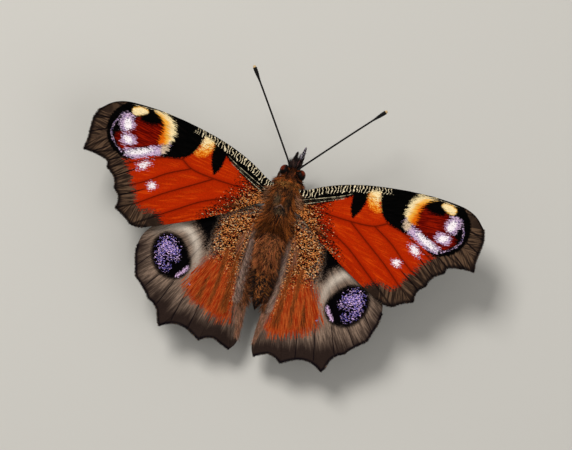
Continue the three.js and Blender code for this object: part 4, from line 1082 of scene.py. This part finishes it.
# Longer hair: over the wing roots and the waist, on neck and collar, and forward from the brow. An entry has
# y from and to, angles from and to, rows, columns, length, way out, way forward, lift, bend and colour.
longHair = [
    ((3.6, -2.2), (36, 66), 40, 16, 1.5, 0.6, -0.75, 0.2, 0.22, "edge"),
    ((2.9, 0.6), (46, 70), 18, 12, 2.1, 1.0, -0.3, 0.3, 0.24, "tuft"),
    ((-1.3, -3.4), (-76, 76), 30, 44, 2.2, 0.75, -0.8, 0.34, 0.3, "edge"),
    ((5.3, 4.2), (48, 150), 20, 24, 1.5, 1.0, -0.3, 0.35, 0.22, "head"),
    ((6.3, 5.1), (24, 62), 12, 10, 0.75, 0.9, 0.1, 0.3, 0.3, "dark"),
    ((5.5, 4.4), (-60, 60), 10, 26, 0.9, 0.3, -0.8, 0.35, 0.3, "head"),
    ((4.3, 3.75), (-80, 80), 8, 60, 0.8, 0.4, -0.5, 0.45, 0.3, "collar"),
    ((6.95, 6.4), (-100, 100), 11, 34, 1.5, 0.14, 1.0, 0.2, 0.1, "brow"),
    ((3.6, 1.6), (-44, 44), 18, 26, 0.8, 0.3, -0.9, 0.24, 0.2, "edge"),
    ((-4.7, -9.9), (-80, 72), 38, 42, 1.3, 0.5, -0.85, 0.3, 0.26, "strand"),
    ((-9.8, -14.2), (50, 95), 30, 16, 1.2, 0.8, -0.6, 0.3, 0.26, "rear")]


def longTufts(rng, side, entry):
    span, turns, rows, columns, length, outward, forward, lift, bend, colour = entry
    t, angle, (shade, turn, size) = planted(rng, span, rows, columns, turns)
    angle = angle * side
    roots = onSkin(t, angle)
    out = skinWays(t, angle)[2]
    fan = np.sign(np.sin(angle)) * outward * (1 if turns[0] > 0 else np.abs(np.sin(angle))) + 0.22 * turn
    lies = np.stack([fan, np.full(len(t), forward), np.zeros(len(t))], axis=1)
    lies = lies + rng.normal(0, 0.12, lies.shape) * (1, 1, 0.4)
    out = unit(out + np.array([0, 0, 0.8]))
    tint = mixed(strandTint(rng, roots, angle, shade), bodyColours[colour], rng.uniform(0.2, 1.0, len(t)))
    pick = (rng.uniform(0, 1, len(t)) + 0.2 * shade)[:, None]
    tint = np.where(pick < 0.38, bodyColours["dark"], np.where(pick > 0.84, tint * 1.9, tint))
    length = length * rng.uniform(0.6, 1.15, len(t)) * np.exp(0.12 * size)
    return tufts(rng, roots, out, lies, bodyChart(t, angle), length, rng.uniform(0.06, 0.11, len(t)),
                 lift, bend, varied(rng, tint, 0.3))


outstanding = [longTufts(rng, side, entry) for entry in longHair
               for side in ((1, -1) if entry[1][0] > 0 else (1,))]
addCoat("ruffHair", outstanding, "thorax_coat", coatLook)
addCoat("abdomenHair", [bodyTufts(rng, (-3.3, -15.85), 116, 100, abdomenHair)], "abdomen_coat", coatLook)


def faceTufts(rng, rows, columns):  # forward and up between the eyes, back behind them
    t, angle, (shade, turn, size) = planted(rng, (7.0, 4.7), rows, columns, (-180, 180))
    roots = onSkin(t, angle)
    rear, around, out = skinWays(t, angle)
    front = smooth((roots[:, 1] - 5.4) / 1.2)
    length = (0.8 - 0.3 * front) * rng.uniform(0.7, 1.3, len(roots)) * np.exp(0.12 * size)
    forward = smooth((roots[:, 1] - 5.7) / 0.6) * 2 - 1
    fan = 0.3 + 0.25 * np.abs(np.sin(angle)) + rng.normal(0, 0.22, len(t)) + 0.3 * turn
    lies = (-rear * (np.cos(fan) * forward)[:, None]
            + around * (np.sin(fan) * np.sign(np.sin(angle)))[:, None] + out * 0.25)
    return tufts(rng, roots, out, lies, bodyChart(t, angle), length, rng.uniform(0.05, 0.09, len(t)),
                 0.5 + 0.3 * front, 0.4, strandTint(rng, roots, angle, shade))


addCoat("headHair", [faceTufts(rng, 44, 96)], "head_coat", coatLook)


# Eyes: finely faceted ovals, dark brown with a rust gleam on the upper outer part
def eyeMaterial():
    material, tree, shader = newMaterial("eyeLens", 0.42, 0.07)
    place = objectPlace(tree)
    cells = wire(tree, "TexVoronoi", {"Vector": place, "Scale": 21000.0}, out="Distance")
    glow = timesPlus(tree, noiseAt(tree, place, 1500.0), 0.9, "gleam")
    colour = tinged(tree, srgb(10, 5, 4), (srgb(122, 36, 2), glow, 1.12, 1.45),
                    (srgb(14, 8, 6), cells, 0.3, 0.7, 0.5))
    finished(tree, shader, colour, cells, 0.5, 0.00001, invert=True)
    return material


eyeLook = eyeMaterial()
for side, way in sides.items():
    polar = np.linspace(0.04, math.pi - 0.04, eye["rows"])[:, None]
    turn = np.linspace(0, 2 * math.pi, eye["columns"], endpoint=False)[None]
    ball = np.stack([np.sin(polar) * np.cos(turn), np.sin(polar) * np.sin(turn),
                     np.cos(polar) * np.ones_like(turn)], axis=-1)
    middle = np.array([way * eye["out"], eye["front"], eye["up"]])
    poles = np.array([[0, 0, 1.0], [0, 0, -1.0]])
    part = loft(onHead(ball * eye["half"] + middle), onHead(poles * eye["half"] + middle))
    toGleam = unit(np.array(eye["gleam"]) * (way, 1, 1))
    gleam = np.append((ball @ toGleam).ravel(), poles[:, 2] * eye["gleam"][2])
    addLoft(f"eyeLens_{side}", part, "eye", eyeLook, f"eye_{side}", gleam=gleam)
tell("head made")

# Antennae: ringed shafts with black clubs, pale at the very tip
antenna = {"root": (0.58, 0.7, 0.8), "shaft": 0.145, "clubStart": 0.83, "club": 0.31, "arch": 0.35,
           "rings": 46, "rows": 420, "columns": 20,
           "tips": {"L": (-9.95, 19.75, 10.9), "R": (11.95, 18.6, 10.6)}}


def antennaMaterial():
    material, tree, shader = newMaterial("feelerHorn", 0.65, 0.15)
    fine = noiseAt(tree, objectPlace(tree), 14000.0)
    colour = tinged(tree, srgb(6, 5, 5), (srgb(15, 12, 11), fine, 0.35, 0.7),
                    (srgb(70, 60, 52), "band", 0.45, 0.75), (srgb(206, 176, 128), "tipFade", 0.35, 0.9))
    finished(tree, shader, colour, fine, 0.5, 0.00002)
    return material


antennaLook = antennaMaterial()
for side, way in sides.items():
    u, columns = np.linspace(0, 1, antenna["rows"]), antenna["columns"]
    start, tip = onHead(np.array(antenna["root"]) * (way, 1, 1)), np.array(antenna["tips"][side])
    arch = np.array([0, 0, antenna["arch"]]) * np.sin(math.pi * u)[:, None]
    path = start + (tip - start) * u[:, None] + arch
    swell = smooth((u - antenna["clubStart"]) / 0.13) * np.sqrt(np.clip((1 - u) / 0.02, 0.12, 1))
    ringWave = np.cos(2 * math.pi * u * antenna["rings"])
    radii = (antenna["shaft"] + (antenna["club"] - antenna["shaft"]) * swell) * (1 + 0.05 * ringWave)
    band = perRing(-ringWave * (1 - smooth((u - 0.84) / 0.06)) * 0.55, columns, 0, 0)
    tipFade = perRing(smooth((u - 0.972) / 0.02), columns, 0, 1)
    addLoft(f"feelerShaft_{side}", alongPath(path, radii, columns), "antenna", antennaLook, f"antenna_{side}",
            band=band, tipFade=tipFade)

# Palps: two bristly snouts side by side; proboscis: a ringed coil under the face
palp = {"root": (0.57, 0.5, -0.7), "tips": {"L": (-0.3, 3.1, 1.6), "R": (0.65, 4.3, 1.1)}, "thick": 0.34,
        "sag": 0.3, "taper": ([0, 0.3, 0.55, 0.8, 1], [0.8, 1, 0.95, 0.7, 0.35]), "rows": 60, "columns": 20,
        "hairs": (44, 26)}
proboscis = {"centre": (0, 1.4, -1.75), "tube": 0.22, "inner": 0.35, "pitch": 0.86, "turns": 1.3,
             "start": 0.6, "rings": 70, "rows": 300, "columns": 18}
palpColours = {"dark": srgb(20, 15, 16), "mid": srgb(62, 50, 48), "pale": srgb(236, 224, 240)}


def onPalp(side, t):
    root, tip = np.array(palp["root"]) * (sides[side], 1, 1), np.array(palp["tips"][side])
    line = root + (tip - root) * t[:, None]
    line[:, 2] -= palp["sag"] * np.sin(math.pi * t)
    return onHead(line)


def palpRadius(t):
    return palp["thick"] * np.interp(t, *palp["taper"])


for side, way in sides.items():
    u = np.linspace(0, 1, palp["rows"])
    part = alongPath(onPalp(side, u), palpRadius(u), palp["columns"])
    tint = np.tile(palpColours["dark"], (len(part["corners"]), 1))
    addLoft(f"palpCore_{side}", part, "palp", bodySkinLook, f"palp_{side}", tint=opaque(tint))
    cell = jittered(rng, *palp["hairs"])
    t, angle = cell[:, 0] * 0.96, cell[:, 1] * 2 * math.pi
    along = unit(onPalp(side, t + 0.02) - onPalp(side, t - 0.02))
    out = squareTo(along, angle)
    roots = onPalp(side, t) + out * palpRadius(t)[:, None] * 0.8
    inward = np.clip(-out[:, 0] * way, 0, 1) * smooth((0.75 - t) / 0.3)
    length = rng.uniform(0.55, 1.2, len(t)) * (1 - 0.62 * t) * (1 + 0.4 * inward)
    streak = near(angle, 2.0, 0.65) * smooth((t - 0.4) / 0.15) * (1.0 if way > 0 else 0.0)
    tint = mixed(mixed(palpColours["dark"], palpColours["mid"], rng.uniform(0, 1, len(t)) ** 2 * 0.8),
                 palpColours["pale"], streak)
    lies = along + rng.normal(0, 0.14, along.shape)
    made = tufts(rng, roots, out, lies, inset(cell), length, rng.uniform(0.06, 0.11, len(t)),
                 0.42 + 0.3 * inward, 0.3, varied(rng, tint))
    addCoat(f"palpBristles_{side}", [made], "palp", bristleLook)

u = np.linspace(0, 1, proboscis["rows"])
turn = u * proboscis["turns"] * 2 * math.pi
reach = proboscis["inner"] + proboscis["pitch"] * turn / (2 * math.pi)
x, y, z = proboscis["centre"]
coil = onHead(np.stack([np.full_like(u, x), y - reach * np.cos(turn + proboscis["start"]),
                        z + reach * np.sin(turn + proboscis["start"])], axis=1))
ringWave = np.cos(2 * math.pi * u * proboscis["rings"])
radii = proboscis["tube"] * (1 + 0.03 * ringWave) * np.interp(u, [0, 0.1], [0.6, 1])
part = alongPath(coil, radii, proboscis["columns"], upright=unit(onHead([1.0, 0, 0]) - onHead([0, 0, 0])))
band = perRing(ringWave * 0.5, proboscis["columns"], 0, 0)
addLoft("tongueCoil", part, "proboscis", antennaLook, "proboscis", band=band, tipFade=band * 0)
tell("feelers and tongue made")

# Legs: x, y, z and radius along each leg on the right side, from the body to the claws
legs = {
    "foreleg": [(0.9, 2.2, 4.9, 0.36), (1.15, 2.9, 4.0, 0.38), (1.45, 4.3, 3.5, 0.34), (1.6, 4.9, 3.6, 0.32),
                (1.65, 5.8, 3.8, 0.28), (1.55, 6.2, 3.9, 0.26)],
    "midleg": [(1.2, 0.4, 4.8, 0.42), (1.55, 0.6, 3.6, 0.45), (2.0, 0.8, 3.2, 0.36), (3.4, 1.5, 4.2, 0.4),
               (5.1, 2.3, 5.3, 0.32), (5.6, 2.5, 5.25, 0.32), (7.4, 3.2, 3.1, 0.3), (8.9, 3.8, 0.95, 0.3),
               (9.3, 4.1, 0.32, 0.3), (10.3, 5.0, 0.22, 0.3), (11.3, 5.8, 0.22, 0.3),
               (11.9, 6.25, 0.22, 0.3)],
    "hindleg": [(1.1, -1.9, 4.9, 0.42), (1.5, -2.1, 3.7, 0.45), (2.0, -2.35, 3.3, 0.36),
                (3.4, -2.8, 4.1, 0.4), (4.9, -3.3, 5.0, 0.32), (5.3, -3.7, 4.95, 0.32),
                (6.5, -5.9, 2.9, 0.3), (7.6, -8.1, 0.95, 0.3), (7.85, -8.6, 0.32, 0.3),
                (8.2, -10.0, 0.22, 0.3), (8.5, -11.4, 0.22, 0.3), (8.65, -12.2, 0.22, 0.3)],
}
legBuild = {"rows": 150, "columns": 18, "slim": 0.72, "hairs": (70, 12), "hairWidth": 0.06}
legColours = {"dark": srgb(48, 36, 28), "pale": srgb(120, 94, 66), "foot": srgb(28, 21, 18)}


def legPath(stations, way):
    line = curveThrough(stations, legBuild["rows"]) * np.array([way, 1, 1, 1])
    path, radii = line[:, :3], line[:, 3] * legBuild["slim"]
    path[:, 2] = np.maximum(path[:, 2], radii + 0.01)
    return path, radii


def nearFloor(places):  # 1 on the feet, 0 on the upper leg
    return smooth((2.2 - places[:, 2]) / 1.6)


for legName, stations in legs.items():
    for side, way in sides.items():
        path, radii = legPath(stations, way)
        part = alongPath(path, radii, legBuild["columns"])
        tint = mixed(legColours["dark"], legColours["foot"], nearFloor(part["corners"]))
        addLoft(f"{legName}Shell_{side}", part, "leg", bodySkinLook, f"{legName}_{side}", tint=opaque(tint))
        cell = jittered(rng, *legBuild["hairs"])
        t, angle = cell[:, 0] * 0.98, cell[:, 1] * 2 * math.pi
        steps = np.linspace(0, 1, len(path))
        at, ahead = (np.stack([np.interp(place, steps, column) for column in path.T], axis=1)
                     for place in (t, np.minimum(t + 0.01, 1)))
        along = unit(ahead - at + 1e-6)
        out = squareTo(along, angle)
        foot = nearFloor(at)
        length = rng.uniform(0.3, 0.6, len(t)) * (1 - 0.45 * foot)
        roots = at + out * np.interp(t, steps, radii)[:, None]
        kept = roots[:, 2] + out[:, 2] * 0.2 > 0.12  # no hair into the floor
        tint = mixed(legColours["dark"], legColours["pale"], 0.6 * (1 - foot))
        tint = varied(rng, mixed(tint, legColours["foot"], foot))
        made = tufts(rng, roots[kept], out[kept], along[kept], inset(cell)[kept], length[kept],
                     legBuild["hairWidth"], 0.22, 0.2, tint[kept])
        addCoat(f"{legName}Hair_{side}", [made], "leg", bristleLook)
tell("legs made")

# Hair and fringes that lie on the wings
def onWing(wing, side, flat):  # a place on the upper face, from its place on the flat outline
    place = spread(wing, side, flat[:, 0], flat[:, 1])
    place[:, 2] += 0.06
    return place


def wingTufts(rng, wing, side, flat, ways, length, width, lift, bend, tint):
    roots = onWing(wing, side, flat)
    step = 0.05
    lies = onWing(wing, side, flat + unit(ways) * step) - roots
    outX = onWing(wing, side, flat + (step, 0)) - roots
    outY = onWing(wing, side, flat + (0, step)) - roots
    out = unit(np.cross(outX, outY))
    out = out * np.sign(out[:, 2:])
    chart = inset((flat - (0.0, -24.0)) / 34.0)
    return tufts(rng, roots, out, lies, chart, length, width, lift, bend, tint)


def scattered(rng, corners, rows, columns):  # jittered places in a four-cornered field of the flat wing
    cell = jittered(rng, rows, columns)
    a, b, c, d = (np.array(corner, float) for corner in corners)
    u, v = cell[:, :1], cell[:, 1:]
    return (1 - u) * ((1 - v) * a + v * b) + u * ((1 - v) * d + v * c)


# Each entry has the field's four corners, rows, columns, the hair's way (none: out from the root), its fan,
# length, width, lift, bend and two colours.
wingHair = {
    "forewing": [
        (((0.9, 2.3), (0.9, 0.7), (3.0, 0.2), (3.6, 2.6)), 16, 24, (1, -0.35), 0.25, 1.3, 0.07, 0.22, 0.16,
         ("tuft", "edge")),
        (((3.0, 1.6), (3.0, -0.2), (8.0, -3.0), (6.0, 0.3)), 22, 14, (1, -0.4), 0.2, 1.1, 0.05, 0.1, 0.08,
         ("edge", "dark"))],
    "hindwing": [
        (((2.3, -5.6), (3.3, -5.6), (3.45, -15.5), (2.5, -15.5)), 96, 12, (-0.55, -0.8), 0.2, 1.35, 0.08, 0.3,
         0.14, ("fringe", "pinkGrey")),
        (((1.3, -3.4), (2.6, -3.4), (2.6, -15.5), (1.3, -15.5)), 96, 16, (-0.5, -0.9), 0.28, 1.3, 0.08, 0.34,
         0.16, ("rear", "abdomen")),
        (((1.4, -15.3), (3.1, -15.3), (2.4, -21.0), (1.2, -21.0)), 50, 16, (-0.4, -1), 0.2, 1.0, 0.06, 0.14,
         0.1, ("flank", "fringe")),
        (((2.2, -2.0), (4.6, -3.0), (8.6, -16.5), (3.4, -17.5)), 80, 30, None, 0.08, 1.7, 0.045, 0.07, 0.05,
         ("streak", "edge")),
        (((1.0, -1.2), (3.4, -1.6), (5.2, -8.0), (2.2, -8.0)), 26, 22, None, 0.2, 1.7, 0.06, 0.14, 0.1,
         ("edge", "fringe"))]}


fringe = {"count": 620, "pale": 0.25, "sunk": 0.1, "length": (0.18, 0.34), "width": 0.09}


def marginFringe(rng, wing, side):  # short scales that stand out all along the outer edge
    outer = evenly(outerEdge(wing), fringe["count"])
    along = unit(np.gradient(outer, axis=0))
    outward = np.stack([along[:, 1], -along[:, 0]], axis=1)
    middle = outer.mean(0) - (9.0, -3.0)
    outward = outward * np.sign(((outer - middle) * outward).sum(1))[:, None]
    pale = rng.uniform(0, 1, len(outer)) < fringe["pale"]
    tint = mixed(forewingColours["edge"], forewingColours["tan"], pale * 0.8)
    flat = outer - outward * fringe["sunk"] + rng.normal(0, 0.02, outer.shape)
    ways = outward + rng.normal(0, 0.15, outward.shape)
    length = rng.uniform(*fringe["length"], len(outer))
    return wingTufts(rng, wing, side, flat, ways, length, fringe["width"], 0.0, 0.1, varied(rng, tint))


for wingName, (wing, _, _, slot) in wingLooks.items():
    for side in sides:
        sets = [marginFringe(rng, wing, side)]
        for corners, rows, columns, way, fan, length, width, lift, bend, colours in wingHair[wingName]:
            flat = scattered(rng, corners, rows, columns)
            ways = flat - (2.3, 1.5) if way is None else np.tile(np.array(way, float), (len(flat), 1))
            ways = unit(ways) + rng.normal(0, fan, flat.shape)
            tint = mixed(bodyColours[colours[0]], bodyColours[colours[1]], rng.uniform(0, 1, len(flat)))
            tint = np.where(rng.uniform(0, 1, (len(flat), 1)) < 0.22, tint * 0.35, tint)
            sets.append(wingTufts(rng, wing, side, flat, ways, length * rng.uniform(0.6, 1.2, len(flat)),
                                  width, lift, bend, varied(rng, tint, 0.35)))
        addCoat(f"{wingName}Hair_{side}", sets, slot, coatLook)


# Studio: pale floor, soft light from the front left, and the camera at the photograph's angle
camera = {"tilt": 12.0, "roll": 15.9, "lens": 150.0, "sensor": 36.0, "place": (1.629, -79.673, 370.180)}


def putUp(name, data, spot, right, up, back):  # camera or lamp at a spot, turned by its three ways
    obj = bpy.data.objects.new(name, data)
    rows = zip(np.stack([right, up, back], axis=1), spot)
    obj.matrix_world = Matrix([[*ways, shift] for ways, shift in rows] + [[0, 0, 0, 1]])
    bpy.context.collection.objects.link(obj)
    return obj


def addCamera():
    data = bpy.data.cameras.new("camera")
    data.lens, data.sensor_width = camera["lens"], camera["sensor"]
    data.clip_start, data.clip_end = 0.01, 10.0
    tilt, roll = math.radians(camera["tilt"]), math.radians(camera["roll"])
    level, raised = np.array([1, 0, 0.0]), np.array([0, math.cos(tilt), math.sin(tilt)])
    right = math.cos(roll) * level + math.sin(roll) * raised
    up = math.cos(roll) * raised - math.sin(roll) * level
    spot = toMetres(camera["place"])
    bpy.context.scene.camera = putUp("camera", data, spot, right, up, np.cross(right, up))


def addLight(name, spot, size, power, colour=(1, 1, 1)):  # a square soft box that faces the animal
    data = bpy.data.lights.new(name, "AREA")
    data.size, data.energy, data.color = size, power, colour
    back = unit(np.array(spot, float))
    right = unit(np.cross([0, 1, 0.01], back))
    putUp(name, data, spot, right, np.cross(back, right), back)


def addFloor(half=3.0):
    mesh = bpy.data.meshes.new("floor")
    corners = [(-half, -half, 0), (half, -half, 0), (half, half, 0), (-half, half, 0)]
    mesh.from_pydata(corners, [], [(0, 1, 2, 3)])
    obj = bpy.data.objects.new("floor", mesh)
    bpy.context.collection.objects.link(obj)
    mesh.materials.append(newMaterial("paleFloor", 0.8, **{"Base Color": srgb(206, 204, 198)})[0])


def addWorld():
    world = bpy.data.worlds.new("studio")
    world.use_nodes = True
    ground = world.node_tree.nodes["Background"].inputs
    ground["Color"].default_value, ground["Strength"].default_value = (1.0, 0.98, 0.95, 1), 0.3
    bpy.context.scene.world = world
    bpy.context.scene.view_settings.view_transform = "Standard"


addCamera()
addLight("keyLight", (-0.28, 0.22, 0.5), 0.22, 2.6, (1.0, 0.98, 0.95))
addLight("fillLight", (0.4, -0.2, 0.5), 0.5, 0.8)
addFloor()
addWorld()
tell("studio set up")
